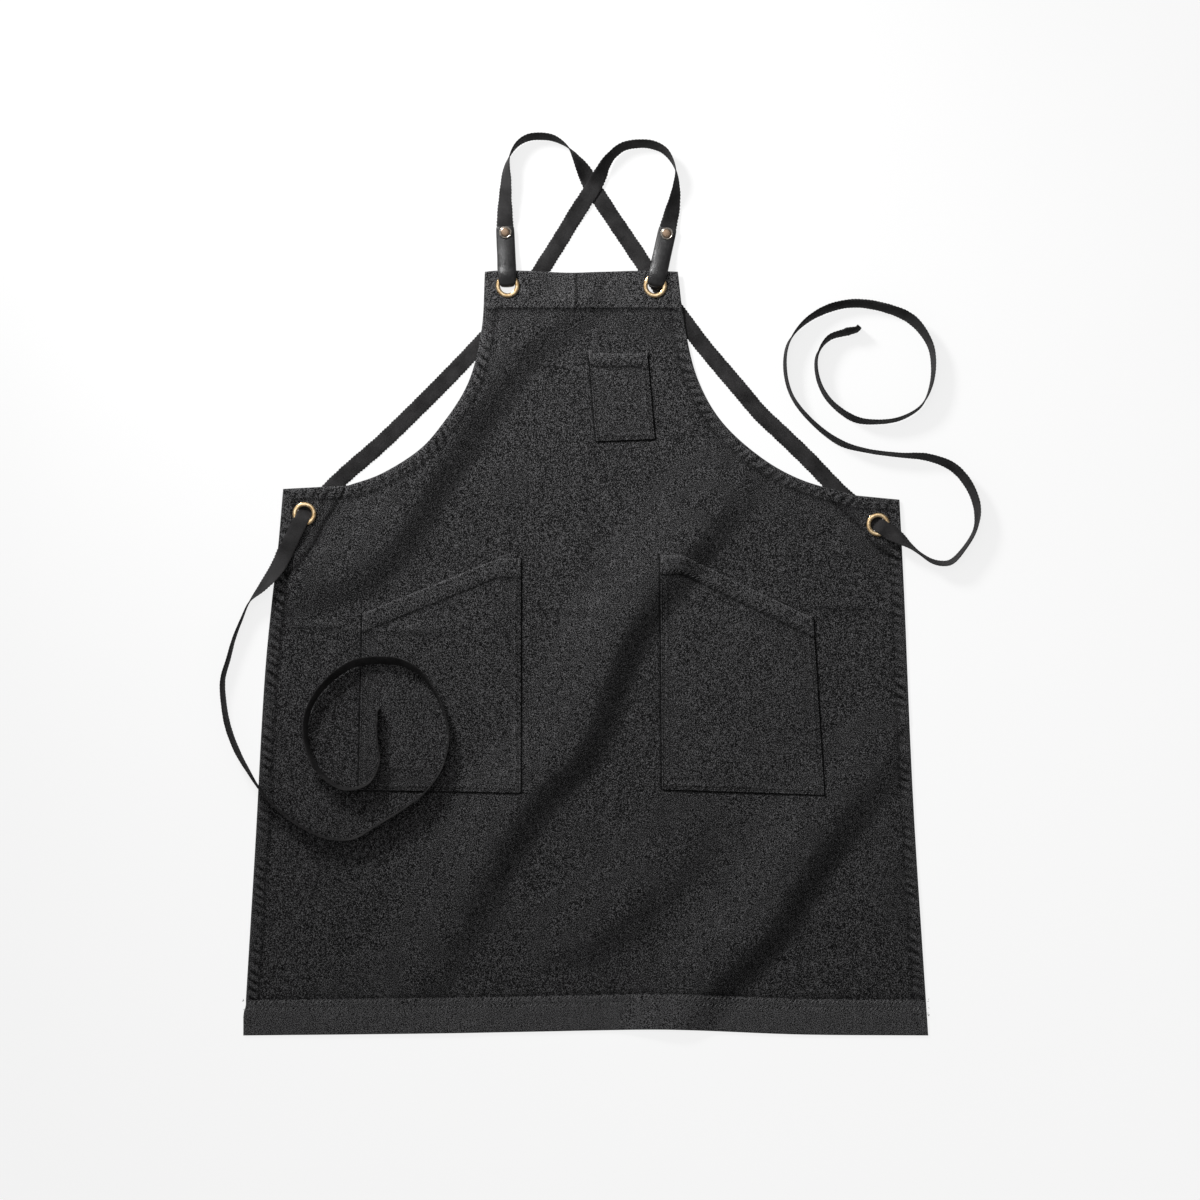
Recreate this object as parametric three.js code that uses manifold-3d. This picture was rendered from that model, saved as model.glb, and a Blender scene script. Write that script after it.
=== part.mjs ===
// A cross back work apron of denim, lying face up on a flat surface.
// Millimetres: X to the right of someone who looks at its face, Y from the bottom hem to the bib,
// Z up. Left and right in the names are as that person sees them.
// The plan is drawn from the middle of the bib's top edge, then the apron is centred on its own box.
import * as THREE from "three";
import { mergeVertices } from "three/addons/utils/BufferGeometryUtils.js";
import Module from "manifold-3d";

const wasm = await Module();
wasm.setup();

// Denim panel
const BODY_LENGTH = 855;
const BIB_WIDTH = 216;
const WAIST_WIDTH = 690;
const HEM_WIDTH = 767;
const ARMHOLE_DEPTH = 243;
const CLOTH = 1.4;
const HEM_CLOTH = 2.8;
const BAND_HEIGHT = 38;
const HEM_HEIGHT = 39;
const SIDE_HEM = 10;
const PATCH_LENGTH = 92;
const PATCH_WIDTH = 62;

// How the panel lies: the bib and the waist sit a little off the hem's middle, one corner lower
const BIB_SHIFT = -4.9;
const WAIST_SHIFT = 6.2;
const RIGHT_CORNER_DROP = 12;
const FOLD_HEIGHT = 9;
const FOLD_LIT_WIDTH = 78;
const FOLD_DARK_WIDTH = 46;

// Pockets
const HAND_POCKET_WIDTH = 182;
const HAND_POCKET_LENGTH = 262;
const HAND_POCKET_SIDE = 198;
const HAND_POCKET_FLAT = 25;
const HAND_POCKET_HEM = 20;
const HAND_POCKET_DROP = 321;
const HAND_POCKET_INSET = 78;
const HAND_POCKET_SHIFT = 5.5;
const RIGHT_POCKET_RISE = 3.5;
const BIB_POCKET_WIDTH = 66;
const BIB_POCKET_LENGTH = 99;
const BIB_POCKET_OUTER = 96;
const BIB_POCKET_HEM = 13.5;
const BIB_POCKET_DROP = 91;
const BIB_POCKET_INSET = 3.6;
const POCKET_CLOTH = 1.2;
const POCKET_HEM_CLOTH = 2.2;

// Brass grommets
const GROMMET_HOLE = 16.5;
const GROMMET_FLANGE = 26.5;
const GROMMET_FLANGE_HEIGHT = 1.4;
const GROMMET_WALL = 0.8;
const GROMMET_WASHER = 24;
const BIB_GROMMET_SPACING = 165;
const BIB_GROMMET_DROP = 16;
const WAIST_GROMMET_INSET = 24;
const WAIST_GROMMET_DROP = 28;

// Leather tabs and their snaps
const LEATHER = 1.6;
const TAB_WIDTH = 20.5;
const TAB_RISE = 67;
const TAB_NECK_WIDTH = 18.4;
const TAB_END_WIDTH = 19.7;
const SNAP_RISE = 60;
const SNAP_CAP = 14;
const SNAP_CAP_HEIGHT = 2.2;
const SNAP_BACK = 12;
const SNAP_BACK_HEIGHT = 0.8;
const SNAP_SHANK = 4.4;
const LEFT_TAB_LEAN = -2.5;
const RIGHT_TAB_LEAN = 12.5;

// Webbing
const WEBBING_WIDTH = 18.3;
const WEBBING = 1.5;
const LOOP_RISE = 155;
const STRAP_END_BEFORE_HOLE = 12;

// Space between pieces that touch, and the side of a facet of the cloth
const GAP = 0.3;
const CELL = 27;
const ROUND_SIDES = 16;

// Half of the armhole and of the side below it, from one corner to the next.
// down: share of the corner's depth; out: share of the step out to the corner.
const LEFT_ARMHOLE = [
  { down: 0, out: 0 },
  { down: 0.268, out: 0.017 },
  { down: 0.515, out: 0.084 },
  { down: 0.711, out: 0.218 },
  { down: 0.818, out: 0.322 },
  { down: 0.933, out: 0.52 },
  { down: 0.984, out: 0.678 },
  { down: 1, out: 1 },
];
const RIGHT_ARMHOLE = [
  { down: 0, out: 0 },
  { down: 0.217, out: 0.028 },
  { down: 0.463, out: 0.087 },
  { down: 0.648, out: 0.191 },
  { down: 0.811, out: 0.371 },
  { down: 0.91, out: 0.551 },
  { down: 0.982, out: 0.808 },
  { down: 1, out: 1 },
];
const LEFT_SIDE = [
  { down: 0, out: 0 },
  { down: 0.094, out: 0.111 },
  { down: 0.314, out: 0.43 },
  { down: 0.661, out: 0.706 },
  { down: 1, out: 1 },
];
const RIGHT_SIDE = [
  { down: 0, out: 0 },
  { down: 0.167, out: 0.158 },
  { down: 0.558, out: 0.474 },
  { down: 1, out: 1 },
];
// The bottom edge from left to right, where the folds lift it. rise: share of the hem's height.
const BOTTOM_EDGE = [
  { across: 0.29, rise: 0.06 },
  { across: 0.52, rise: 0.147 },
  { across: 0.623, rise: 0.18 },
  { across: 0.696, rise: 0.117 },
  { across: 0.813, rise: 0.028 },
];

// Crests of the soft folds. across: share of half the hem's width from the middle;
// down: share of the body's length; height: share of the fold height.
const FOLDS = [
  [
    { across: -0.02, down: 0.04, height: 0.2 },
    { across: -0.18, down: 0.087, height: 0.7 },
    { across: -0.3, down: 0.152, height: 1 },
    { across: -0.47, down: 0.27, height: 1 },
    { across: -0.62, down: 0.37, height: 0.7 },
    { across: -0.86, down: 0.42, height: 0.2 },
  ],
  [
    { across: 0.457, down: 0.27, height: 0.2 },
    { across: 0.31, down: 0.349, height: 0.8 },
    { across: 0.106, down: 0.467, height: 1 },
    { across: -0.04, down: 0.624, height: 1 },
    { across: -0.157, down: 0.676, height: 0.9 },
    { across: -0.303, down: 0.781, height: 0.8 },
    { across: -0.449, down: 0.912, height: 0.3 },
  ],
  [
    { across: 0.866, down: 0.634, height: 0.3 },
    { across: 0.661, down: 0.752, height: 0.9 },
    { across: 0.515, down: 0.857, height: 1 },
    { across: 0.369, down: 0.923, height: 0.9 },
    { across: 0.26, down: 0.99, height: 0.6 },
  ],
  [
    { across: 0.29, down: 0.755, height: 0.2 },
    { across: 0.144, down: 0.82, height: 0.5 },
    { across: -0.002, down: 0.873, height: 0.4 },
  ],
];

// Shoulder straps above the bib, from the snap round the loop to where they go behind the bib.
// across: share of the bib's width from its middle; rise: share of the loop's rise over the bib;
// lean: degrees that the webbing is turned about its own line; under: what lies below it,
// in layers of webbing.
const LEFT_LOOP = [
  { across: -0.395, rise: 0.5, lean: -34, under: 0 },
  { across: -0.389, rise: 0.66, lean: -49, under: 0 },
  { across: -0.385, rise: 0.75, lean: -66, under: 0 },
  { across: -0.37, rise: 0.835, lean: -90, under: 0 },
  { across: -0.33, rise: 0.92, lean: -104, under: 0 },
  { across: -0.277, rise: 0.965, lean: -112, under: 0 },
  { across: -0.21, rise: 0.975, lean: -113, under: 0 },
  { across: -0.142, rise: 0.96, lean: -109, under: 0 },
  { across: -0.067, rise: 0.894, lean: -90, under: 0 },
  { across: -0.015, rise: 0.79, lean: -50, under: 0 },
  { across: 0.024, rise: 0.7, lean: -10, under: 0 },
  { across: 0.042, rise: 0.65, lean: 0, under: 0 },
  { across: 0.148, rise: 0.42, lean: 0, under: 0 },
  { across: 0.245, rise: 0.22, lean: 0, under: 0 },
  { across: 0.346, rise: 0.01, lean: 0, under: 0 },
];
const RIGHT_LOOP = [
  { across: 0.48, rise: 0.5, lean: 40, under: 0 },
  { across: 0.491, rise: 0.62, lean: 64, under: 0 },
  { across: 0.487, rise: 0.74, lean: 90, under: 0 },
  { across: 0.436, rise: 0.865, lean: 112, under: 0 },
  { across: 0.372, rise: 0.912, lean: 118, under: 0 },
  { across: 0.304, rise: 0.922, lean: 118, under: 0 },
  { across: 0.216, rise: 0.9, lean: 119, under: 0 },
  { across: 0.156, rise: 0.835, lean: 121, under: 0.2 },
  { across: 0.12, rise: 0.765, lean: 132, under: 0.8 },
  { across: 0.095, rise: 0.695, lean: 152, under: 1 },
  { across: 0.06, rise: 0.605, lean: 180, under: 1 },
  { across: 0.015, rise: 0.51, lean: 180, under: 1 },
  { across: -0.04, rise: 0.39, lean: 180, under: 0 },
  { across: -0.114, rise: 0.22, lean: 180, under: 0 },
  { across: -0.2055, rise: 0.02, lean: 180, under: 0 },
];
// The same straps behind the bib and past the armhole. along: share of the way from where the
// loop ends to the waist grommet; bow: share of that way that the strap lies off the straight line.
const LEFT_RUN = [
  { along: 0.072, bow: 0.0134 },
  { along: 0.17, bow: 0.021 },
  { along: 0.295, bow: 0.023 },
  { along: 0.415, bow: 0.024 },
  { along: 0.534, bow: 0.0225 },
  { along: 0.696, bow: 0.0173 },
  { along: 0.83, bow: 0.0055 },
];
const RIGHT_RUN = [
  { along: 0.13, bow: -0.015 },
  { along: 0.258, bow: -0.0275 },
  { along: 0.44, bow: -0.0342 },
  { along: 0.53, bow: -0.037 },
  { along: 0.611, bow: -0.0307 },
  { along: 0.725, bow: -0.023 },
  { along: 0.851, bow: -0.019 },
];

// Waist ties, from their grommets to their tips: cords whose points were chosen one by one.
// x and y: millimetres from the grommet; lean: degrees; on: 0 on the floor, 1 on the cloth.
const LEFT_TIE = [
  { x: -20, y: -40, lean: 0, on: 1 },
  { x: -31, y: -62, lean: 22, on: 1 },
  { x: -46, y: -82, lean: 55, on: 0.6 },
  { x: -60, y: -98, lean: 88, on: 0 },
  { x: -68.5, y: -118, lean: 94, on: 0 },
  { x: -76.5, y: -140, lean: 98, on: 0 },
  { x: -82.5, y: -162, lean: 102, on: 0 },
  { x: -89, y: -186, lean: 104, on: 0 },
  { x: -87.5, y: -215, lean: 106, on: 0 },
  { x: -82.5, y: -240, lean: 108, on: 0 },
  { x: -72, y: -267, lean: 106, on: 0 },
  { x: -60, y: -289, lean: 98, on: 0.35 },
  { x: -50.5, y: -305, lean: 92, on: 1 },
  { x: -32, y: -327, lean: 92, on: 1 },
  { x: -4, y: -348.5, lean: 93, on: 1 },
  { x: 26, y: -362, lean: 93, on: 1 },
  { x: 55, y: -363, lean: 94, on: 1 },
  { x: 87, y: -346, lean: 94, on: 1 },
  { x: 119, y: -327, lean: 94, on: 1 },
  { x: 140, y: -311, lean: 94, on: 1 },
  { x: 159, y: -284.5, lean: 95, on: 1 },
  { x: 168, y: -249, lean: 98, on: 1 },
  { x: 156, y: -209, lean: 106, on: 1 },
  { x: 133, y: -178, lean: 114, on: 1 },
  { x: 108, y: -166, lean: 122, on: 1 },
  { x: 83, y: -164, lean: 123, on: 1 },
  { x: 55, y: -168, lean: 120, on: 1 },
  { x: 26, y: -188, lean: 112, on: 1 },
  { x: 5, y: -219, lean: 107, on: 1 },
  { x: 3, y: -257, lean: 107, on: 1 },
  { x: 20, y: -290, lean: 103, on: 1 },
  { x: 47, y: -307, lean: 98, on: 1 },
  { x: 74, y: -301, lean: 96, on: 1 },
  { x: 87.5, y: -278, lean: 95, on: 1 },
  { x: 85, y: -249, lean: 93, on: 1 },
  { x: 85.5, y: -217, lean: 91, on: 1 },
];
const RIGHT_TIE = [
  { x: 24.5, y: -16.5, lean: 0, on: 1 },
  { x: 38, y: -26.5, lean: -52, on: 0.6 },
  { x: 48.5, y: -34, lean: -88, on: 0 },
  { x: 61, y: -41.5, lean: -80, on: 0 },
  { x: 72, y: -44, lean: -76, on: 0 },
  { x: 83.5, y: -42.5, lean: -77, on: 0 },
  { x: 98.5, y: -27, lean: -84, on: 0 },
  { x: 111, y: -5, lean: -84, on: 0 },
  { x: 113, y: 19, lean: -66, on: 0 },
  { x: 103.5, y: 45, lean: -60, on: 0 },
  { x: 85.5, y: 65, lean: -60, on: 0 },
  { x: 57, y: 75.5, lean: -64, on: 0 },
  { x: 25.5, y: 78, lean: -76, on: 0 },
  { x: -11, y: 83, lean: -78, on: 0 },
  { x: -40, y: 92, lean: -72, on: 0 },
  { x: -71, y: 115, lean: -80, on: 0 },
  { x: -94.5, y: 144.5, lean: -90, on: 0 },
  { x: -102, y: 175, lean: -96, on: 0 },
  { x: -98.5, y: 202.5, lean: -98, on: 0 },
  { x: -81.5, y: 225, lean: -107, on: 0 },
  { x: -57, y: 240, lean: -118, on: 0 },
  { x: -26, y: 246.5, lean: -118, on: 0 },
  { x: 8, y: 242, lean: -121, on: 0 },
  { x: 40.5, y: 228, lean: -128, on: 0 },
  { x: 59.5, y: 202, lean: -114, on: 0 },
  { x: 63.5, y: 178, lean: -106, on: 0 },
  { x: 60, y: 153, lean: -95, on: 0 },
  { x: 50, y: 133, lean: -92, on: 0 },
  { x: 27, y: 119, lean: -84, on: 0 },
  { x: 0, y: 115, lean: -80, on: 0 },
  { x: -24.5, y: 118.5, lean: -68, on: 0 },
  { x: -52, y: 139, lean: -78, on: 0 },
  { x: -65, y: 164, lean: -88, on: 0 },
  { x: -66, y: 189.5, lean: -95, on: 0 },
  { x: -53, y: 208, lean: -111, on: 0 },
  { x: -34, y: 214.5, lean: -114, on: 0 },
  { x: -18, y: 218.5, lean: -100, on: 0 },
];

// Heights of the layers under the bib and at the waist corners
const STRAP_TOP = WEBBING + GAP;
const WAIST_SEAT = STRAP_TOP + GROMMET_WALL + GAP;
const BIB_SEAT = STRAP_TOP + LEATHER + GAP + GROMMET_WALL + GAP;

// Places in plan, from the middle of the hem's width and the bib's top edge
const bibLeft = { x: BIB_SHIFT - BIB_WIDTH / 2, y: 0 };
const bibRight = { x: BIB_SHIFT + BIB_WIDTH / 2, y: 0 };
const waistLeft = { x: WAIST_SHIFT - WAIST_WIDTH / 2, y: -ARMHOLE_DEPTH };
const waistRight = { x: WAIST_SHIFT + WAIST_WIDTH / 2, y: -ARMHOLE_DEPTH - RIGHT_CORNER_DROP };
const hemLeft = { x: -HEM_WIDTH / 2, y: -BODY_LENGTH };
const hemRight = { x: HEM_WIDTH / 2, y: -BODY_LENGTH };
const bibGrommets = [-1, 1].map((side) => ({
  x: BIB_SHIFT + (side * BIB_GROMMET_SPACING) / 2,
  y: -BIB_GROMMET_DROP,
}));
const waistGrommets = [
  { x: waistLeft.x + WAIST_GROMMET_INSET, y: waistLeft.y - WAIST_GROMMET_DROP },
  { x: waistRight.x - WAIST_GROMMET_INSET, y: waistRight.y - WAIST_GROMMET_DROP },
];

const lerp = (a, b, t) => a + (b - a) * t;
const smooth = (t) => THREE.MathUtils.smoothstep(t, 0, 1);
const between = (a, b, row) => new THREE.Vector2(lerp(a.x, b.x, row.out), lerp(a.y, b.y, row.down));

// Closed solids for joining and cutting
function solidOf(geometry) {
  const bare = geometry.clone();
  bare.deleteAttribute("normal");
  bare.deleteAttribute("uv");
  const merged = mergeVertices(bare, 1e-4);
  return new wasm.Manifold(
    new wasm.Mesh({
      numProp: 3,
      vertProperties: merged.attributes.position.array,
      triVerts: new Uint32Array(merged.index.array),
    }),
  );
}

function geometryOf(solid) {
  const { vertProperties, triVerts } = solid.getMesh();
  return new THREE.BufferGeometry()
    .setAttribute("position", new THREE.BufferAttribute(vertProperties, 3))
    .setIndex(new THREE.BufferAttribute(triVerts, 1));
}

// A tall prism over a plan outline, to cut cloth to its shape
const PRISM_HEIGHT = 80;
function prism(points) {
  const prismGeometry = new THREE.ExtrudeGeometry(new THREE.Shape(points), {
    depth: PRISM_HEIGHT,
    bevelEnabled: false,
  });
  return solidOf(prismGeometry.translate(0, 0, -PRISM_HEIGHT / 2));
}

function cylinder(radius, place) {
  const round = new THREE.CylinderGeometry(radius, radius, PRISM_HEIGHT, ROUND_SIDES);
  return solidOf(round.rotateX(Math.PI / 2).translate(place.x, place.y, 0));
}

// A body turned about Z from a closed profile of { r, z } points
function turned(profile) {
  const points = [...profile, profile[0]].map((p) => new THREE.Vector2(p.r, p.z));
  return new THREE.LatheGeometry(points, ROUND_SIDES).rotateX(Math.PI / 2);
}

// Outline of the panel, clockwise from the bib's left corner
function curveThrough(points, steps) {
  return new THREE.SplineCurve(points).getPoints(steps);
}

function bodyOutline() {
  const leftArmhole = LEFT_ARMHOLE.map((row) => between(bibLeft, waistLeft, row));
  const rightArmhole = RIGHT_ARMHOLE.map((row) => between(bibRight, waistRight, row));
  const leftSide = LEFT_SIDE.map((row) => between(waistLeft, hemLeft, row));
  const rightSide = RIGHT_SIDE.map((row) => between(waistRight, hemRight, row));
  const bottom = BOTTOM_EDGE.map(
    (row) =>
      new THREE.Vector2(lerp(hemLeft.x, hemRight.x, row.across), hemLeft.y + row.rise * HEM_HEIGHT),
  );
  const leftCurve = curveThrough(leftArmhole.slice(0, -1), 20);
  const rightCurve = curveThrough(rightArmhole.slice(0, -1), 20);
  return [
    ...rightCurve,
    ...curveThrough(rightSide, 8),
    ...bottom.reverse(),
    ...curveThrough(leftSide, 8).reverse(),
    ...leftCurve.reverse(),
  ];
}

// The outline moved inwards, square to each of its stretches
function inset(points, distance) {
  return points.map((point, i) => {
    const before = points[(i + points.length - 1) % points.length];
    const after = points[(i + 1) % points.length];
    const inA = new THREE.Vector2(point.y - before.y, before.x - point.x).normalize();
    const inB = new THREE.Vector2(after.y - point.y, point.x - after.x).normalize();
    const middle = inA.clone().add(inB).normalize();
    return point.clone().addScaledVector(middle, distance / Math.max(0.5, middle.dot(inA)));
  });
}

// Plan lines that lift the cloth
function nearest(line, x, y) {
  let best = { distance: Infinity };
  for (let i = 0; i + 1 < line.length; i++) {
    const a = line[i];
    const b = line[i + 1];
    const dx = b.x - a.x;
    const dy = b.y - a.y;
    const share = THREE.MathUtils.clamp(
      ((x - a.x) * dx + (y - a.y) * dy) / (dx * dx + dy * dy),
      0,
      1,
    );
    const offX = x - lerp(a.x, b.x, share);
    const offY = y - lerp(a.y, b.y, share);
    const distance = Math.hypot(offX, offY);
    if (distance < best.distance) {
      best = { distance, side: Math.sign(dx * offY - dy * offX), height: lerp(a.height, b.height, share) };
    }
  }
  return best;
}

const foldLines = FOLDS.map((rows) =>
  rows.map((row) => ({
    x: (row.across * HEM_WIDTH) / 2,
    y: -row.down * BODY_LENGTH,
    height: row.height * FOLD_HEIGHT,
  })),
);

// Every fold runs down to the left: its long slope is on the upper left, its short one on the lower right
function foldHeight(x, y) {
  return foldLines.reduce((sum, line) => {
    const { distance, side, height } = nearest(line, x, y);
    const width = side > 0 ? FOLD_DARK_WIDTH : FOLD_LIT_WIDTH;
    return sum + height * (1 - smooth(distance / width));
  }, 0);
}

// Webbing: route points with x, y, lean and a height under it, taken along a smooth curve
function route(points, perSpan) {
  const curve = new THREE.CatmullRomCurve3(points.map((p) => new THREE.Vector3(p.x, p.y, 0)));
  const stations = [];
  for (let i = 0; i + 1 < points.length; i++) {
    const steps = points[i].steps ?? perSpan;
    for (let k = 0; k < steps; k++) {
      stations.push(stationAt(curve, points, i, k / steps));
    }
  }
  stations.push(stationAt(curve, points, points.length - 2, 1));
  return stations;
}

function stationAt(curve, points, i, share) {
  const place = curve.getPoint((i + share) / (points.length - 1));
  const a = points[i];
  const b = points[i + 1];
  const width = lerp(a.width ?? WEBBING_WIDTH, b.width ?? WEBBING_WIDTH, share);
  const lean = THREE.MathUtils.degToRad(lerp(a.lean, b.lean, share));
  const base = lerp(a.base, b.base, share);
  const standing = (width / 2) * Math.abs(Math.sin(lean)) + (WEBBING / 2) * Math.abs(Math.cos(lean));
  place.z = base + standing;
  return { place, width, lean };
}

// A flat strip with blunt edges swept through its stations, closed at both ends
function strip(stations, thickness, acrossAt) {
  const positions = [];
  const faces = [];
  const corners = [
    [1, 0],
    [0.5, 0.5],
    [-0.5, 0.5],
    [-1, 0],
    [-0.5, -0.5],
    [0.5, -0.5],
  ];
  const sides = corners.length;
  stations.forEach((station, i) => {
    const ahead = stations[Math.min(i + 1, stations.length - 1)].place;
    const behind = stations[Math.max(i - 1, 0)].place;
    const tangent = ahead.clone().sub(behind).normalize();
    const across = acrossAt(station, tangent);
    const normal = tangent.clone().cross(across).normalize();
    for (const [a, b] of corners) {
      const flat = Math.abs(a) === 1 ? 0 : thickness / 2;
      const reach = (Math.sign(a) * (station.width - 2 * flat)) / 2;
      const corner = station.place
        .clone()
        .addScaledVector(across, reach)
        .addScaledVector(normal, b * thickness);
      positions.push(corner.x, corner.y, corner.z);
    }
  });
  for (let i = 0; i + 1 < stations.length; i++) {
    for (let j = 0; j < sides; j++) {
      const a = i * sides + j;
      const b = i * sides + ((j + 1) % sides);
      faces.push(a, b, b + sides, a, b + sides, a + sides);
    }
  }
  const last = (stations.length - 1) * sides;
  for (let j = 1; j + 1 < sides; j++) {
    faces.push(0, j + 1, j);
    faces.push(last, last + j, last + j + 1);
  }
  return new THREE.BufferGeometry()
    .setAttribute("position", new THREE.Float32BufferAttribute(positions, 3))
    .setIndex(faces);
}

const UP = new THREE.Vector3(0, 0, 1);
function leaningAcross(station, tangent) {
  const level = UP.clone().cross(tangent).normalize();
  const raised = tangent.clone().cross(level).normalize();
  return level.multiplyScalar(Math.cos(station.lean)).addScaledVector(raised, Math.sin(station.lean));
}

const webbing = (points, perSpan) => strip(route(points, perSpan), WEBBING, leaningAcross);

// Heights of the tab's layers over the floor, at the snap
const backLegLow = SNAP_BACK_HEIGHT + GAP;
const endLow = backLegLow + LEATHER + GAP;
const frontLegLow = endLow + WEBBING + GAP;
const capLow = frontLegLow + LEATHER + GAP;

// A point on a tab's own line: rise from the grommet's middle, turned by the tab's lean
function onTab(side, rise) {
  const lean = THREE.MathUtils.degToRad(side === 0 ? LEFT_TAB_LEAN : RIGHT_TAB_LEAN);
  const grommet = bibGrommets[side];
  return { x: grommet.x + rise * Math.sin(lean), y: grommet.y + rise * Math.cos(lean) };
}

function loopPoint(row) {
  return {
    x: BIB_SHIFT + row.across * BIB_WIDTH,
    y: row.rise * LOOP_RISE,
    lean: row.lean,
    base: row.under * STRAP_TOP,
  };
}

// The strap from the left tab crosses over to the right waist grommet, and the other way round
const LOOPS = [LEFT_LOOP, RIGHT_LOOP].map((rows) => rows.map(loopPoint));
const RUNS = [LEFT_RUN, RIGHT_RUN].map((rows, waistSide) => {
  const start = LOOPS[1 - waistSide].at(-1);
  const grommet = waistGrommets[waistSide];
  return rows.map((row) => ({
    x: lerp(start.x, grommet.x, row.along) - (grommet.y - start.y) * row.bow,
    y: lerp(start.y, grommet.y, row.along) + (grommet.x - start.x) * row.bow,
    lean: start.lean,
    base: 0,
    steps: 1,
  }));
});

// Where a strap stops behind the cloth, and its tie takes over
function runEnd(waistSide) {
  const grommet = waistGrommets[waistSide];
  const from = RUNS[waistSide].at(-1);
  const reach = GROMMET_HOLE / 2 + STRAP_END_BEFORE_HOLE;
  const length = Math.hypot(from.x - grommet.x, from.y - grommet.y);
  const toward = { x: (from.x - grommet.x) / length, y: (from.y - grommet.y) / length };
  return { x: grommet.x + toward.x * reach, y: grommet.y + toward.y * reach, toward };
}

function strapPoints(tabSide) {
  const waistSide = 1 - tabSide;
  const loop = LOOPS[tabSide];
  const end = runEnd(waistSide);
  const inTab = [SNAP_RISE - SNAP_CAP / 2, SNAP_RISE, TAB_RISE].map((rise) => ({
    ...onTab(tabSide, rise),
    lean: 0,
    base: endLow,
    steps: 1,
  }));
  const ending = [STRAP_END_BEFORE_HOLE, 0].map((before) => ({
    x: end.x + end.toward.x * before,
    y: end.y + end.toward.y * before,
    lean: loop.at(-1).lean,
    base: 0,
    steps: 1,
  }));
  return [...inTab, ...loop, ...RUNS[waistSide], ...ending];
}

const straps = [strapPoints(0), strapPoints(1)];

// Cloth: how high its underside lies
const strapLines = straps.map((points) => points.map((p) => ({ ...p, height: STRAP_TOP })));
const seatMargin = CELL * Math.SQRT2;
const fallAway = 2 * CELL;

function seatHeight(x, y, places, radius, height) {
  return Math.max(
    ...places.map((place) => {
      const past = Math.hypot(x - place.x, y - place.y) - radius - seatMargin;
      return height * (1 - smooth(past / fallAway));
    }),
  );
}

function strapLift(x, y) {
  return Math.max(
    ...strapLines.map((line) => {
      const past = nearest(line, x, y).distance - WEBBING_WIDTH / 2 - seatMargin;
      return STRAP_TOP * (1 - smooth(past / fallAway));
    }),
  );
}

function underside(x, y) {
  return Math.max(
    foldHeight(x, y),
    strapLift(x, y),
    seatHeight(x, y, bibGrommets, TAB_WIDTH / 2 + BIB_GROMMET_DROP, BIB_SEAT),
    seatHeight(x, y, waistGrommets, GROMMET_FLANGE / 2, WAIST_SEAT),
  );
}

// One grid of facets for the cloth and all that is sewn on it, so that their faces run side by side
const gridWidth = HEM_WIDTH + 2 * CELL;
const gridLength = BODY_LENGTH + 2 * CELL;
const gridColumns = Math.round(gridWidth / CELL);
const gridRows = Math.round(gridLength / CELL);
const gridMiddle = -BODY_LENGTH / 2;
const heights = new Map();

function undersideAt(x, y) {
  const key = `${x.toFixed(2)} ${y.toFixed(2)}`;
  if (!heights.has(key)) heights.set(key, underside(x, y));
  return heights.get(key);
}

function slab(low, high) {
  const box = new THREE.BoxGeometry(gridWidth, gridLength, 2, gridColumns, gridRows, 1);
  box.translate(0, gridMiddle, 0);
  const place = box.attributes.position;
  for (let i = 0; i < place.count; i++) {
    const level = place.getZ(i) > 0 ? high : low;
    place.setZ(i, undersideAt(place.getX(i), place.getY(i)) + level);
  }
  return solidOf(box);
}

// The underside's height on its facet, for what is laid on the cloth
function facetHeight(x, y) {
  const stepX = gridWidth / gridColumns;
  const stepY = gridLength / gridRows;
  const u = (x + gridWidth / 2) / stepX;
  const v = (y - gridMiddle + gridLength / 2) / stepY;
  const i = Math.floor(u);
  const j = Math.floor(v);
  const at = (a, b) =>
    undersideAt(-gridWidth / 2 + a * stepX, gridMiddle - gridLength / 2 + b * stepY);
  const s = u - i;
  const t = v - j;
  return s > t
    ? at(i, j) + s * (at(i + 1, j) - at(i, j)) + t * (at(i + 1, j + 1) - at(i + 1, j))
    : at(i, j) + t * (at(i, j + 1) - at(i, j)) + s * (at(i + 1, j + 1) - at(i, j + 1));
}

// The stretch of cloth of one thickness between the hems, with the corner patches left thick
function field(outline) {
  const top = -BAND_HEIGHT;
  const bottom = -BODY_LENGTH + HEM_HEIGHT;
  const half = gridWidth / 2;
  const middle = [
    new THREE.Vector2(-half, top),
    new THREE.Vector2(half, top),
    new THREE.Vector2(half, bottom),
    new THREE.Vector2(-half, bottom),
  ];
  const patches = [waistLeft, waistRight].map((corner, side) => {
    const inward = side === 0 ? 1 : -1;
    return prism([
      new THREE.Vector2(corner.x - inward * CELL, corner.y + CELL),
      new THREE.Vector2(corner.x + inward * PATCH_WIDTH, corner.y + CELL),
      new THREE.Vector2(corner.x + inward * PATCH_WIDTH, corner.y),
      new THREE.Vector2(corner.x - inward * SIDE_HEM, corner.y - PATCH_LENGTH),
    ]);
  });
  let cut = prism(inset(outline, SIDE_HEM)).intersect(prism(middle));
  for (const patch of patches) {
    cut = cut.subtract(patch);
  }
  return cut;
}

const BORE = GROMMET_HOLE / 2 + GROMMET_WALL + GAP;

function apronBody() {
  const outline = bodyOutline();
  const pressed = slab(CLOTH, HEM_CLOTH + 1).intersect(field(outline));
  let body = slab(0, HEM_CLOTH).intersect(prism(outline)).subtract(pressed);
  for (const place of [...bibGrommets, ...waistGrommets]) {
    body = body.subtract(cylinder(BORE, place));
  }
  return geometryOf(body);
}

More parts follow.
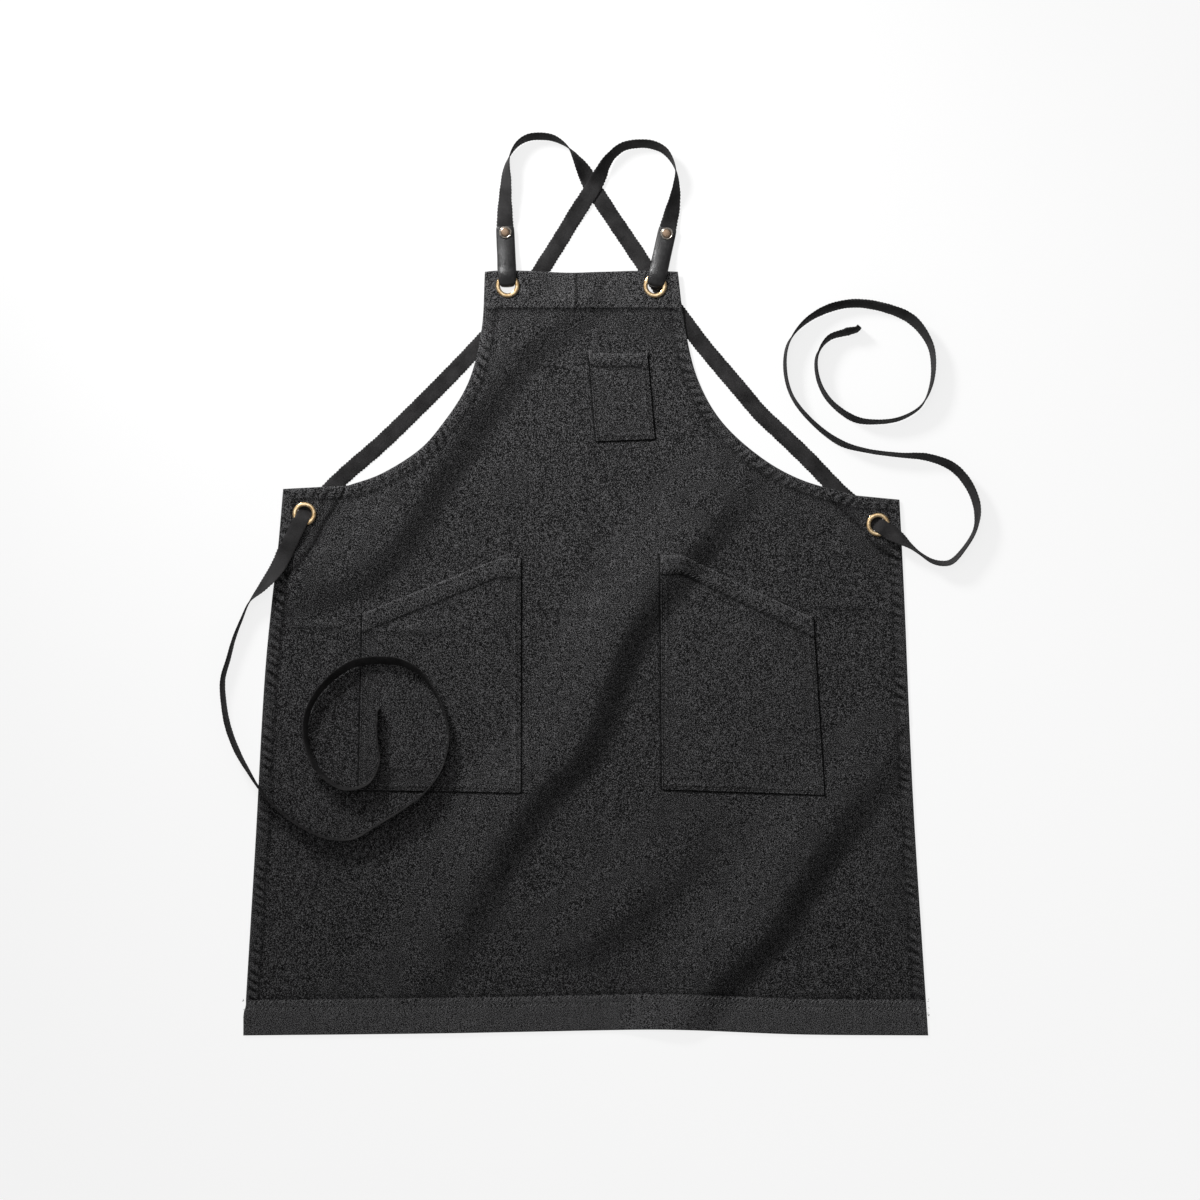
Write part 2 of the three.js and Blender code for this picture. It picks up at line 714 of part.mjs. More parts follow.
// A pocket's five corners, from the top of its inner side round by the bottom to its slanted mouth.
// The angles say how each side lies, in degrees from upright or level.
const POCKETS = [
  {
    name: "hand_pocket_left",
    side: -1,
    inner: HAND_POCKET_SHIFT - HAND_POCKET_INSET,
    top: -HAND_POCKET_DROP,
    width: HAND_POCKET_WIDTH,
    length: HAND_POCKET_LENGTH,
    outer: HAND_POCKET_SIDE,
    flat: HAND_POCKET_FLAT,
    hem: HAND_POCKET_HEM,
    innerTurn: 0,
    bottomTurn: -0.9,
    outerTurn: -1.3,
  },
  {
    name: "hand_pocket_right",
    side: 1,
    inner: HAND_POCKET_SHIFT + HAND_POCKET_INSET,
    top: RIGHT_POCKET_RISE - HAND_POCKET_DROP,
    width: HAND_POCKET_WIDTH,
    length: HAND_POCKET_LENGTH,
    outer: HAND_POCKET_SIDE,
    flat: HAND_POCKET_FLAT,
    hem: HAND_POCKET_HEM,
    innerTurn: 0.4,
    bottomTurn: -1.9,
    outerTurn: 3.6,
  },
  {
    name: "bib_pocket",
    side: 1,
    inner: BIB_POCKET_INSET,
    top: -BIB_POCKET_DROP,
    width: BIB_POCKET_WIDTH,
    length: BIB_POCKET_LENGTH,
    outer: BIB_POCKET_OUTER,
    flat: BIB_POCKET_WIDTH,
    hem: BIB_POCKET_HEM,
    innerTurn: 4.6,
    bottomTurn: 2,
    outerTurn: 5,
  },
];

function pocketCorners(pocket) {
  const turn = (x, y, degrees) =>
    new THREE.Vector2(x, y).rotateAround(new THREE.Vector2(), THREE.MathUtils.degToRad(degrees));
  const innerTop = new THREE.Vector2(pocket.inner, pocket.top);
  const innerBottom = innerTop.clone().add(turn(0, -pocket.length, pocket.innerTurn));
  const outerBottom = innerBottom.clone().add(turn(pocket.side * pocket.width, 0, pocket.bottomTurn));
  const outerTop = outerBottom.clone().add(turn(0, pocket.outer, pocket.outerTurn));
  const bend = innerTop.clone().add(new THREE.Vector2(pocket.side * pocket.flat, 0));
  const square = pocket.flat === pocket.width;
  return { innerTop, innerBottom, outerBottom, outerTop, mouth: square ? [innerTop] : [bend, innerTop] };
}

function pocketGeometry(pocket) {
  const { innerTop, innerBottom, outerBottom, outerTop, mouth } = pocketCorners(pocket);
  const lowered = (point) => new THREE.Vector2(point.x, point.y - pocket.hem);
  const whole = prism([innerBottom, outerBottom, outerTop, ...mouth]);
  const margin = pocket.side * CELL;
  const plain = prism([
    new THREE.Vector2(innerBottom.x - margin, innerBottom.y - CELL),
    new THREE.Vector2(outerBottom.x + margin, outerBottom.y - CELL),
    new THREE.Vector2(outerTop.x + margin, lowered(outerTop).y),
    lowered(outerTop),
    ...mouth.map(lowered),
    new THREE.Vector2(innerTop.x - margin, lowered(innerTop).y),
  ]);
  const floor = CLOTH + GAP;
  const cloth = slab(floor, floor + POCKET_HEM_CLOTH).intersect(whole);
  const over = slab(floor + POCKET_CLOTH, floor + POCKET_HEM_CLOTH + 1).intersect(plain);
  return geometryOf(cloth.subtract(over));
}

// A grommet: washer behind the cloth, barrel through it and rolled flange on its face, in one piece
function grommetGeometry() {
  const hole = GROMMET_HOLE / 2;
  const flange = GROMMET_FLANGE / 2;
  const washer = GROMMET_WASHER / 2;
  const wall = GROMMET_WALL;
  const face = HEM_CLOTH + GAP;
  const crown = face + GROMMET_FLANGE_HEIGHT;
  const lip = (flange - hole) / 4;
  return turned([
    { r: hole, z: -wall - GAP },
    { r: washer, z: -wall - GAP },
    { r: washer, z: -GAP },
    { r: hole + wall, z: -GAP },
    { r: hole + wall, z: face },
    { r: flange, z: face },
    { r: flange - lip / 2, z: crown - GROMMET_FLANGE_HEIGHT / 3 },
    { r: flange - 1.5 * lip, z: crown },
    { r: hole + 1.5 * lip, z: crown },
    { r: hole + lip / 3, z: crown - GROMMET_FLANGE_HEIGHT / 3 },
    { r: hole, z: face },
  ]);
}

// A snap: back disc, shank through the tab and the webbing, and domed cap
function snapGeometry() {
  const top = capLow + SNAP_CAP_HEIGHT;
  const points = [
    { r: 0, z: 0 },
    { r: SNAP_BACK / 2, z: 0 },
    { r: SNAP_BACK / 2, z: SNAP_BACK_HEIGHT },
    { r: SNAP_SHANK / 2, z: SNAP_BACK_HEIGHT },
    { r: SNAP_SHANK / 2, z: capLow },
    { r: SNAP_CAP / 2, z: capLow },
    { r: SNAP_CAP / 2, z: capLow + SNAP_CAP_HEIGHT / 3 },
    { r: SNAP_CAP * 0.38, z: top - SNAP_CAP_HEIGHT / 5 },
    { r: 0, z: top },
  ].map((p) => new THREE.Vector2(p.r, p.z));
  return new THREE.LatheGeometry(points, ROUND_SIDES).rotateX(Math.PI / 2);
}

// A leather tab in its own frame: Y along the tab from the grommet's middle, Z up from the floor.
// It starts behind the bib at the snap, turns up through the grommet and comes back on the face.
const TAB_BEND_STEPS = 8;
function tabGeometry() {
  const seat = BIB_SEAT - GAP - GROMMET_WALL - GAP - LEATHER / 2;
  const over = BIB_SEAT + HEM_CLOTH + 2 * GAP + GROMMET_FLANGE_HEIGHT + LEATHER / 2;
  const bend = (over - seat) / 2;
  const flangeEdge = GROMMET_FLANGE / 2;
  const edge = BIB_GROMMET_DROP + LEATHER;
  const throat = 2 * Math.sqrt((GROMMET_HOLE / 2) ** 2 - (bend / 2) ** 2) - 4 * GAP;
  const neck = Math.min(TAB_NECK_WIDTH, TAB_WIDTH);
  const station = (y, z, width) => ({ place: new THREE.Vector3(0, y, z), width });
  const stations = [
    station(TAB_RISE, backLegLow + LEATHER / 2, TAB_END_WIDTH),
    station(SNAP_RISE - SNAP_CAP, backLegLow + LEATHER / 2, TAB_WIDTH),
    station(edge, seat, neck),
    station(flangeEdge, seat, neck),
  ];
  for (let i = 0; i <= TAB_BEND_STEPS; i++) {
    const angle = Math.PI * (i / TAB_BEND_STEPS);
    const middle = LEATHER / 2 + bend;
    stations.push(station(middle - bend * Math.sin(angle), seat + bend - bend * Math.cos(angle), throat));
  }
  stations.push(
    station(flangeEdge, over, neck),
    station(edge + LEATHER, over, neck),
    station(lerp(edge, SNAP_RISE, 0.45), lerp(over, frontLegLow + LEATHER / 2, 0.62), TAB_WIDTH),
    station(SNAP_RISE - SNAP_CAP, frontLegLow + LEATHER / 2, TAB_WIDTH),
    station(TAB_RISE, frontLegLow + LEATHER / 2, TAB_END_WIDTH),
  );
  const across = new THREE.Vector3(1, 0, 0);
  return strip(stations, LEATHER, () => across.clone());
}

const SHANK_CLEAR = SNAP_SHANK / 2 + GAP;

function tabWithHole() {
  const bored = solidOf(tabGeometry()).subtract(cylinder(SHANK_CLEAR, { x: 0, y: SNAP_RISE }));
  return geometryOf(bored);
}

function strapWithHole(side) {
  const bored = solidOf(webbing(straps[side], 3)).subtract(
    cylinder(SHANK_CLEAR, onTab(side, SNAP_RISE)),
  );
  return geometryOf(bored);
}

// A tie from behind the cloth up through the waist grommet, over its flange and away
function tiePoints(side) {
  const grommet = waistGrommets[side];
  const rows = side === 0 ? LEFT_TIE : RIGHT_TIE;
  const from = runEnd(side);
  const first = rows[0];
  const reach = Math.hypot(first.x, first.y);
  const out = { x: first.x / reach, y: first.y / reach };
  const climb = GROMMET_HOLE / 3;
  const throat = 2 * Math.sqrt((GROMMET_HOLE / 2) ** 2 - climb ** 2) - 3 * GAP;
  const overFlange = WAIST_SEAT + HEM_CLOTH + 2 * GAP + GROMMET_FLANGE_HEIGHT;
  const onCloth = (x, y) => facetHeight(x, y) + HEM_CLOTH + GAP;
  const hole = (along, direction, base) => ({
    x: grommet.x + direction.x * along,
    y: grommet.y + direction.y * along,
    lean: 0,
    base,
    width: throat,
    steps: 1,
  });
  return [
    { x: from.x - from.toward.x * GAP, y: from.y - from.toward.y * GAP, lean: 0, base: 0, steps: 1 },
    hole(climb, from.toward, 0),
    hole(0, from.toward, overFlange / 2),
    hole(climb, out, overFlange),
    { ...hole(GROMMET_FLANGE / 2 + WEBBING, out, overFlange), width: WEBBING_WIDTH * 0.9 },
    ...rows.map((row) => ({
      x: grommet.x + row.x,
      y: grommet.y + row.y,
      lean: row.lean,
      base: row.on * onCloth(grommet.x + row.x, grommet.y + row.y),
    })),
  ];
}

// The apron
const denim = new THREE.MeshStandardMaterial({ color: 0x2d2d2f, roughness: 0.95, metalness: 0 });
const web = new THREE.MeshStandardMaterial({ color: 0x151415, roughness: 0.85, metalness: 0 });
const leather = new THREE.MeshStandardMaterial({ color: 0x0e0e0f, roughness: 0.4, metalness: 0 });
const brass = new THREE.MeshStandardMaterial({ color: 0xb08d4f, roughness: 0.3, metalness: 1 });
const nickel = new THREE.MeshStandardMaterial({ color: 0x6d6258, roughness: 0.4, metalness: 1 });

const apron = new THREE.Group();

function add(name, geometry, material) {
  const mesh = new THREE.Mesh(geometry, material);
  mesh.name = name;
  apron.add(mesh);
  return mesh;
}

const SIDES = ["left", "right"];
add("apron_body", apronBody(), denim);
for (const pocket of POCKETS) {
  add(pocket.name, pocketGeometry(pocket), denim);
}
SIDES.forEach((word, side) => {
  const bib = add(`bib_grommet_${word}`, grommetGeometry(), brass);
  bib.position.set(bibGrommets[side].x, bibGrommets[side].y, BIB_SEAT);
  const waist = add(`waist_grommet_${word}`, grommetGeometry(), brass);
  waist.position.set(waistGrommets[side].x, waistGrommets[side].y, WAIST_SEAT);
  const tab = add(`leather_tab_${word}`, tabWithHole(), leather);
  tab.position.set(bibGrommets[side].x, bibGrommets[side].y, 0);
  const lean = side === 0 ? LEFT_TAB_LEAN : RIGHT_TAB_LEAN;
  tab.rotation.z = -THREE.MathUtils.degToRad(lean);
  const snap = add(`snap_${word}`, snapGeometry(), nickel);
  snap.position.set(onTab(side, SNAP_RISE).x, onTab(side, SNAP_RISE).y, 0);
  add(`shoulder_strap_${word}`, strapWithHole(side), web);
});

// Centred on the box of all but the loose ties
const box = new THREE.Box3().setFromObject(apron);
const middle = box.getCenter(new THREE.Vector3());
SIDES.forEach((word, side) => add(`waist_tie_${word}`, webbing(tiePoints(side), 2), web));
apron.position.set(-middle.x, -middle.y, -box.min.z);

export default apron;
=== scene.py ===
"""A cross back work apron of charcoal denim, lying face up on a pale floor with its ties loose."""

import math

import bpy
import numpy as np
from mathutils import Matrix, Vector
from mathutils.geometry import delaunay_2d_cdt
from mathutils.kdtree import KDTree


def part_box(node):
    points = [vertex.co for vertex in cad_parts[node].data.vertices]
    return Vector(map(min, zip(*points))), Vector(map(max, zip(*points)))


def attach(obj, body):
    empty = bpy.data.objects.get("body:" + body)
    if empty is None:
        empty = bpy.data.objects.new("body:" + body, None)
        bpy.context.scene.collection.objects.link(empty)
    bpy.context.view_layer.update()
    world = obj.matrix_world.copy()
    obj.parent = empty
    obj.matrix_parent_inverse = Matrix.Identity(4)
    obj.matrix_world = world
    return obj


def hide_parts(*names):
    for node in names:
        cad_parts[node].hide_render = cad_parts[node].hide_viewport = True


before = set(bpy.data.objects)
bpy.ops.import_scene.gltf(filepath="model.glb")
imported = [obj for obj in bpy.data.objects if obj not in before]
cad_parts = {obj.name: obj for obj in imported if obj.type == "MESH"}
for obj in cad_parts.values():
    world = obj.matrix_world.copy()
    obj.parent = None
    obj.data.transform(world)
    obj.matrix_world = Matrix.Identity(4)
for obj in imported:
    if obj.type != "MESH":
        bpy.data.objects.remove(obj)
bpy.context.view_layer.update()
MM = 0.001
SIDES = ("left", "right")

# The plan is drawn in millimetres from the middle of the bib's top edge, as the construction is.
body_low, body_high = (np.array(corner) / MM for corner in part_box("apron_body"))
HEM_WIDTH, BODY_LENGTH = (body_high - body_low)[:2]
SHIFT = np.array([(body_low[0] + body_high[0]) / 2, body_high[1], 0])


def middle_of(node):
    """A node's middle in plan and its lowest and highest level, in millimetres."""
    low, high = (np.array(corner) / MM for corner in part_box(node))
    return ((low + high) / 2 - SHIFT)[:2], low[2], high[2]


# Denim panel
BIB_WIDTH = 216
BIB_SHIFT = -4.9
WAIST_WIDTH = 690
WAIST_SHIFT = 6.2
ARMHOLE_DEPTH = 243
RIGHT_CORNER_DROP = 12
CLOTH = 1.4
HEM_CLOTH = 2.8
BAND_HEIGHT = 40.5
HEM_HEIGHT = 39.5
SIDE_HEM = 12
SIDE_STITCH = 9.5
PATCH_LENGTH = 92
PATCH_WIDTH = 62
PATCH_ROW_GAP = 6
FRAYED_THREADS = 7
HEM_STITCH_HIGH = 37.2
HEM_STITCH_LOW = 29.6
BAND_STITCH = 36.2
FOLD_HEIGHT = 12.5
FOLD_LIT_WIDTH = 80
FOLD_DARK_WIDTH = 42
SEAT_FALL = 46
STRAP_FALL = 34
SOFT_MEETING = 0.8
CELL = 4.6
POCKET_CELL = 4.2
RIM_STEP = 2.6
SEWN_STEP = 1.2
HOLE_POINTS = 44

# Pockets
POCKET_CLOTH = 1.2
POCKET_HEM_CLOTH = 2.2
POCKET_BULGE = 1.4
POCKET_TURN_IN = 7.5
FAR = 60
POCKET_STITCH = 3
MOUTH_STITCH = 2.6

# Hardware, leather and webbing
GROMMET_HOLE = 16.5
GROMMET_FLANGE = 26.5
GROMMET_WASHER = 24
FLANGE_HEIGHT = 1.4
GROMMET_WALL = 0.8
LEATHER = 1.6
TAB_WIDTH = 20.5
TAB_END_WIDTH = 19.7
TAB_NECK_WIDTH = 21
TAB_RISE = 67
TAB_SAG = 1.4
SNAP_RISE = 60
SNAP_CAP = 14
SNAP_CAP_HEIGHT = 2.2
SNAP_BACK = 12
SNAP_BACK_HEIGHT = 0.8
SNAP_SHANK = 4.4
CORE_RADIUS = 5
LATHE_SIDES = 72
TAB_LEANS = (-2.5, 12.5)
BIB_GROMMET_DROP = 16
WEBBING_WIDTH = 18.3
WEBBING = 1.5
WEBBING_STEP = 0.9
SELVEDGE_BUMP = 0.7
SELVEDGE_PITCH = 3.6
WEBBING_CLEARANCE = 0.05
BAND_SIDES = 9
FOLDED_END = 15
TIE_CURLS = (0.45, 1.1)
LOOP_RISE = 155
STRAP_END_BEFORE_HOLE = 12
GAP = 0.3
STRAP_TOP = WEBBING + GAP
WAIST_SEAT = STRAP_TOP + GROMMET_WALL + GAP
BIB_SEAT = STRAP_TOP + LEATHER + GAP + GROMMET_WALL + GAP
BORE = GROMMET_HOLE / 2 + GROMMET_WALL + GAP

# The face of a snap's cap: (millimetres in from its rim, millimetres below its top)
SNAP_FACE = [
    (0.15, 0.85), (0.5, 0.5), (0.95, 0.42), (1.3, 0.6), (1.5, 0.72), (1.75, 0.5), (2.3, 0.28),
    (3.6, 0.1), (5.2, 0.02),
]  # fmt: skip

# Each armhole and the side below it: (share down, share out) from one corner to the next
LEFT_ARMHOLE = [
    (0, 0), (0.268, 0.017), (0.515, 0.084), (0.711, 0.218), (0.818, 0.322), (0.933, 0.52),
    (0.984, 0.678), (1, 1),
]  # fmt: skip
RIGHT_ARMHOLE = [
    (0, 0), (0.217, 0.028), (0.463, 0.087), (0.648, 0.191), (0.811, 0.371), (0.91, 0.551),
    (0.982, 0.808), (1, 1),
]  # fmt: skip
LEFT_SIDE = [
    (0, 0), (0.094, 0.111), (0.314, 0.43), (0.661, 0.706), (0.93, 0.93), (0.947, 0.942),
    (0.957, 0.985), (1, 1),
]  # fmt: skip
RIGHT_SIDE = [(0, 0), (0.167, 0.158), (0.558, 0.474), (1, 1)]
# The bib's top edge, slack between the grommets: (share across, millimetres up)
TOP_EDGE = [(0, 0), (0.07, 1.3), (0.23, 1), (0.44, -1), (0.6, 0), (0.8, 1.1), (0.93, 0.6), (1, 0)]
# The bottom edge where the folds lift it: (share across, millimetres up)
BOTTOM_EDGE = [(0, 0), (0.29, 2.4), (0.52, 5.7), (0.623, 7), (0.696, 4.6), (0.813, 1.1), (1, 0)]

# Crests of the soft folds: (share of half the hem's width, share of the length down, share of height)
FOLDS = [
    [(0, 0.03, 0.3), (-0.18, 0.087, 0.52), (-0.3, 0.152, 0.66), (-0.47, 0.27, 0.8), (-0.62, 0.37, 0.65),
     (-0.86, 0.42, 0.2)],
    [(0.457, 0.27, 0.2), (0.31, 0.349, 0.8), (0.106, 0.467, 1), (-0.04, 0.624, 1),
     (-0.157, 0.676, 0.9), (-0.303, 0.781, 0.8), (-0.449, 0.912, 0.3)],
    [(0.866, 0.634, 0.3), (0.661, 0.752, 0.9), (0.515, 0.857, 1), (0.369, 0.923, 0.9),
     (0.26, 0.99, 0.6)],
    [(0.29, 0.755, 0.2), (0.144, 0.82, 0.5), (-0.002, 0.873, 0.4)],
]  # fmt: skip
# Small creases: (x, y) to (x, y) in millimetres of the plan, half width, height
CREASES = [
    (-352, -397, -240, -401, 4.5, 1.3),
    (-262, -404, -120, -403, 5.5, 1.3),
    (-72, -378, 70, -383, 6, 0.8),
    (230, -372, 356, -381, 5, 1.1),
    (-6, -170, -8, -370, 8, 0.6),
    (238, -388, 260, -390, 3.5, 1.2),
    (-292, -246, -318, -316, 4, 1.1),
    (60, -20, 92, -40, 6, 0.6),
]

# Rows of stitches on the panel: pitch, length, thickness, slant, brightness, seed
PANEL_STITCHES = {
    "hem_upper": (4.7, 3.9, 0.8, 50, 1.0, 51),
    "hem_lower": (4.7, 3.9, 0.8, 50, 1.0, 52),
    "band": (4.3, 3.6, 0.75, 48, 0.75, 53),
    "left_side": (4.4, 2.6, 0.6, 6, 0.3, 54),
    "right_side": (4.4, 2.6, 0.6, 6, 0.3, 55),
    "left_patch": (4.4, 2.6, 0.5, 4, 0.1, 56),
    "left_patch_second": (4.4, 2.6, 0.5, 4, 0.1, 57),
    "right_patch": (4.4, 2.6, 0.5, 4, 0.1, 56),
    "right_patch_second": (4.4, 2.6, 0.5, 4, 0.1, 57),
}

# Shoulder straps from the snap to the bib's edge: (share across, share of rise, lean, layers under)
LEFT_LOOP = [
    (-0.395, 0.5, -34, 0), (-0.389, 0.66, -49, 0), (-0.385, 0.75, -66, 0), (-0.37, 0.835, -90, 0),
    (-0.33, 0.92, -104, 0), (-0.277, 0.965, -112, 0), (-0.21, 0.975, -113, 0),
    (-0.142, 0.96, -109, 0), (-0.067, 0.894, -90, 0), (-0.015, 0.79, -50, 0), (0.024, 0.7, -10, 0),
    (0.042, 0.65, 0, 0), (0.148, 0.42, 0, 0), (0.245, 0.22, 0, 0), (0.346, 0.01, 0, 0),
]  # fmt: skip
RIGHT_LOOP = [
    (0.48, 0.5, 40, 0), (0.491, 0.62, 64, 0), (0.487, 0.74, 90, 0), (0.436, 0.865, 112, 0),
    (0.372, 0.912, 118, 0), (0.304, 0.922, 118, 0), (0.216, 0.9, 119, 0), (0.156, 0.835, 121, 0.2),
    (0.12, 0.765, 132, 0.8), (0.095, 0.695, 152, 1), (0.06, 0.605, 180, 1), (0.015, 0.51, 180, 1),
    (-0.04, 0.39, 180, 0), (-0.114, 0.22, 180, 0), (-0.2055, 0.02, 180, 0),
]  # fmt: skip
# The same straps behind the bib, as they reach each waist grommet: (share along, share of bow)
LEFT_RUN = [
    (0.072, 0.0134), (0.17, 0.021), (0.295, 0.023), (0.415, 0.024), (0.534, 0.0225), (0.696, 0.0173),
    (0.83, 0.0055),
]  # fmt: skip
RIGHT_RUN = [
    (0.13, -0.015), (0.258, -0.0275), (0.44, -0.0342), (0.53, -0.037), (0.611, -0.0307),
    (0.725, -0.023), (0.851, -0.019),
]  # fmt: skip

# Waist ties, whose points are listed one by one: (x, y) from the grommet, lean, and 1 on the cloth
LEFT_TIE = [
    (-20, -40, 0, 1), (-31, -62, 22, 1), (-46.5, -82, 55, 0.6), (-61, -98, 88, 0),
    (-70, -118, 94, 0), (-78.5, -140, 98, 0), (-84.5, -162, 102, 0), (-91, -186, 104, 0),
    (-89.5, -215, 106, 0), (-84.5, -240, 108, 0), (-74, -267, 106, 0), (-61.5, -289, 98, 0.35),
    (-51.5, -305, 92, 1), (-33, -327, 92, 1), (-5, -348.5, 93, 1), (25, -362, 93, 1),
    (53, -363, 94, 1), (84, -346, 94, 1), (114.5, -327, 94, 1), (135, -311, 93, 1),
    (153.5, -284.5, 93, 1), (161.5, -249, 94, 1), (151, -209, 100, 1), (129.5, -178, 110, 1),
    (106, -166, 118, 1), (82, -164, 121, 1), (55, -168, 119, 1), (26, -188, 112, 1),
    (5, -219, 107, 1), (3, -257, 107, 1), (19, -290, 103, 1), (45, -307, 98, 1), (71, -301, 96, 1),
    (83.5, -278, 95, 1), (81, -249, 93, 1), (81.5, -217, 91, 1),
]  # fmt: skip
RIGHT_TIE = [
    (24.5, -16.5, -44, 1), (37, -25.5, -74, 0.6), (47, -33, -83, 0), (59, -41, -74, 0),
    (70, -44, -71, 0), (81.5, -42.5, -72, 0), (96.5, -27, -80, 0), (109, -5, -82, 0),
    (111, 19, -66, 0), (101.5, 45, -60, 0), (83.5, 65, -60, 0), (55, 75.5, -64, 0),
    (23.5, 78, -76, 0), (-13, 83, -78, 0), (-42, 92, -70, 0), (-73, 115, -79, 0),
    (-96.5, 144.5, -82, 0), (-104, 175, -81, 0), (-100.5, 202.5, -84, 0), (-83.5, 225, -105, 0),
    (-59, 240, -118, 0), (-28, 246.5, -118, 0), (6, 242, -121, 0), (38.5, 228, -126, 0),
    (57.5, 202, -110, 0), (61.5, 178, -104, 0), (58, 153, -97, 0), (48, 133, -84, 0),
    (25, 119, -78, 0), (-2, 115, -76, 0), (-26.5, 118.5, -68, 0), (-54, 139, -76, 0),
    (-67, 164, -82, 0), (-68, 189.5, -86, 0), (-55, 208, -109, 0), (-36, 214.5, -114, 0),
    (-20, 218.5, -104, 0),
]  # fmt: skip


# Lines and fields in plan


def smoothstep(t):
    t = np.clip(t, 0, 1)
    return t * t * (3 - 2 * t)


def step_at(distance, width):
    """A soft step from 0 to 1, width wide, in the middle where distance is 0."""
    return smoothstep(distance / width + 0.5)


def line_at(distance, width):
    """A soft line where distance is 0."""
    return np.exp(-((distance / width) ** 2))


def unit(vectors):
    return vectors / np.maximum(np.linalg.norm(vectors, axis=-1, keepdims=True), 1e-9)


def left_of(ways):
    """Directions in plan, turned a quarter to the left."""
    return ways[..., ::-1] * (-1, 1)


def spline(points, per_span=12):
    """A centripetal curve through the first two columns. The other columns run straight between."""
    points = np.asarray(points, float)
    flat = points[:, :2]
    guide = np.vstack([2 * flat[0] - flat[1], flat, 2 * flat[-1] - flat[-2]])
    share = np.linspace(0, 1, per_span, endpoint=False)[:, None]
    spans = []
    for i in range(len(points) - 1):
        a, b, c, d = guide[i : i + 4]
        ab, bc, cd = (max(math.dist(p, q), 1e-6) ** 0.5 for p, q in ((a, b), (b, c), (c, d)))
        leave = bc * ((b - a) / ab - (c - a) / (ab + bc) + (c - b) / bc)
        arrive = bc * ((c - b) / bc - (d - b) / (bc + cd) + (d - c) / cd)
        square = 3 * (c - b) - 2 * leave - arrive
        cube = 2 * (b - c) + leave + arrive
        place = b + leave * share + square * share**2 + cube * share**3
        rest = points[i, 2:] + share * (points[i + 1, 2:] - points[i, 2:])
        spans.append(np.hstack([place, rest]))
    spans.append(points[-1:])
    return np.vstack(spans)


def reach_of(points):
    """How far along its line each point lies."""
    return np.concatenate([[0], np.cumsum(np.linalg.norm(np.diff(points[:, :2], axis=0), axis=1))])


def even(points, step):
    """The same line with its points an equal step apart."""
    points = np.asarray(points, float)
    reach = reach_of(points)
    at = np.linspace(0, reach[-1], max(1, round(reach[-1] / step)) + 1)
    return np.column_stack([np.interp(at, reach, column) for column in points.T])


def eased(values, count):
    """A column of numbers with its corners rounded off over count points each way."""
    weights = np.hanning(2 * count + 3)[1:-1]
    padded = np.pad(values, count, mode="edge")
    return np.convolve(padded, weights / weights.sum(), mode="valid")


def nearest(line, places):
    """Distance from each place to a line, the side it is on, and the line's third column there."""
    best = np.full(len(places), np.inf)
    side = np.zeros(len(places))
    value = np.zeros(len(places))
    for a, b in zip(line[:-1], line[1:]):
        ahead = b[:2] - a[:2]
        share = np.clip((places - a[:2]) @ ahead / max(ahead @ ahead, 1e-9), 0, 1)
        off = places - a[:2] - share[:, None] * ahead
        distance = np.hypot(off[:, 0], off[:, 1])
        closer = distance < best
        best[closer] = distance[closer]
        side[closer] = np.sign(ahead[0] * off[:, 1] - ahead[1] * off[:, 0])[closer]
        value[closer] = (a[2] + share * (b[2] - a[2]))[closer]
    return best, side, value


def soft_noise(x, y, size, seed):
    """Smooth noise from -1 to 1, with hills about as wide as size."""
    lattice = np.random.default_rng(seed).uniform(-1, 1, (97, 97))
    u = x / size + 500
    v = y / size + 500
    i = np.floor(u).astype(int)
    j = np.floor(v).astype(int)
    s = smoothstep(u - i)
    t = smoothstep(v - j)
    corner = [lattice[(i + a) % 97, (j + b) % 97] for a in (0, 1) for b in (0, 1)]
    return (corner[0] * (1 - t) + corner[1] * t) * (1 - s) + (corner[2] * (1 - t) + corner[3] * t) * s


def wander(along, size, seed):
    """The same noise along a line."""
    return soft_noise(along, along * 0, size, seed)


def tree_of(points):
    tree = KDTree(len(points))
    for i, point in enumerate(points):
        tree.insert((point[0], point[1], 0), i)
    tree.balance()
    return tree


def tree_along(lines):
    """A tree of the places along some lines, a millimetre apart."""
    return tree_of(np.vstack([even(line, 1) for line in lines]))


def away(tree, places):
    """How far each place is from the nearest place of a tree."""
    return np.array([tree.find((x, y, 0))[2] for x, y in places])


def within(places, outline):
    """Which places lie inside a closed outline."""
    found = np.zeros(len(places), bool)
    for (ax, ay), (bx, by) in zip(outline, np.roll(outline, -1, 0)):
        if ay != by:
            crosses = (ay > places[:, 1]) != (by > places[:, 1])
            found ^= crosses & (places[:, 0] < (bx - ax) * (places[:, 1] - ay) / (by - ay) + ax)
    return found


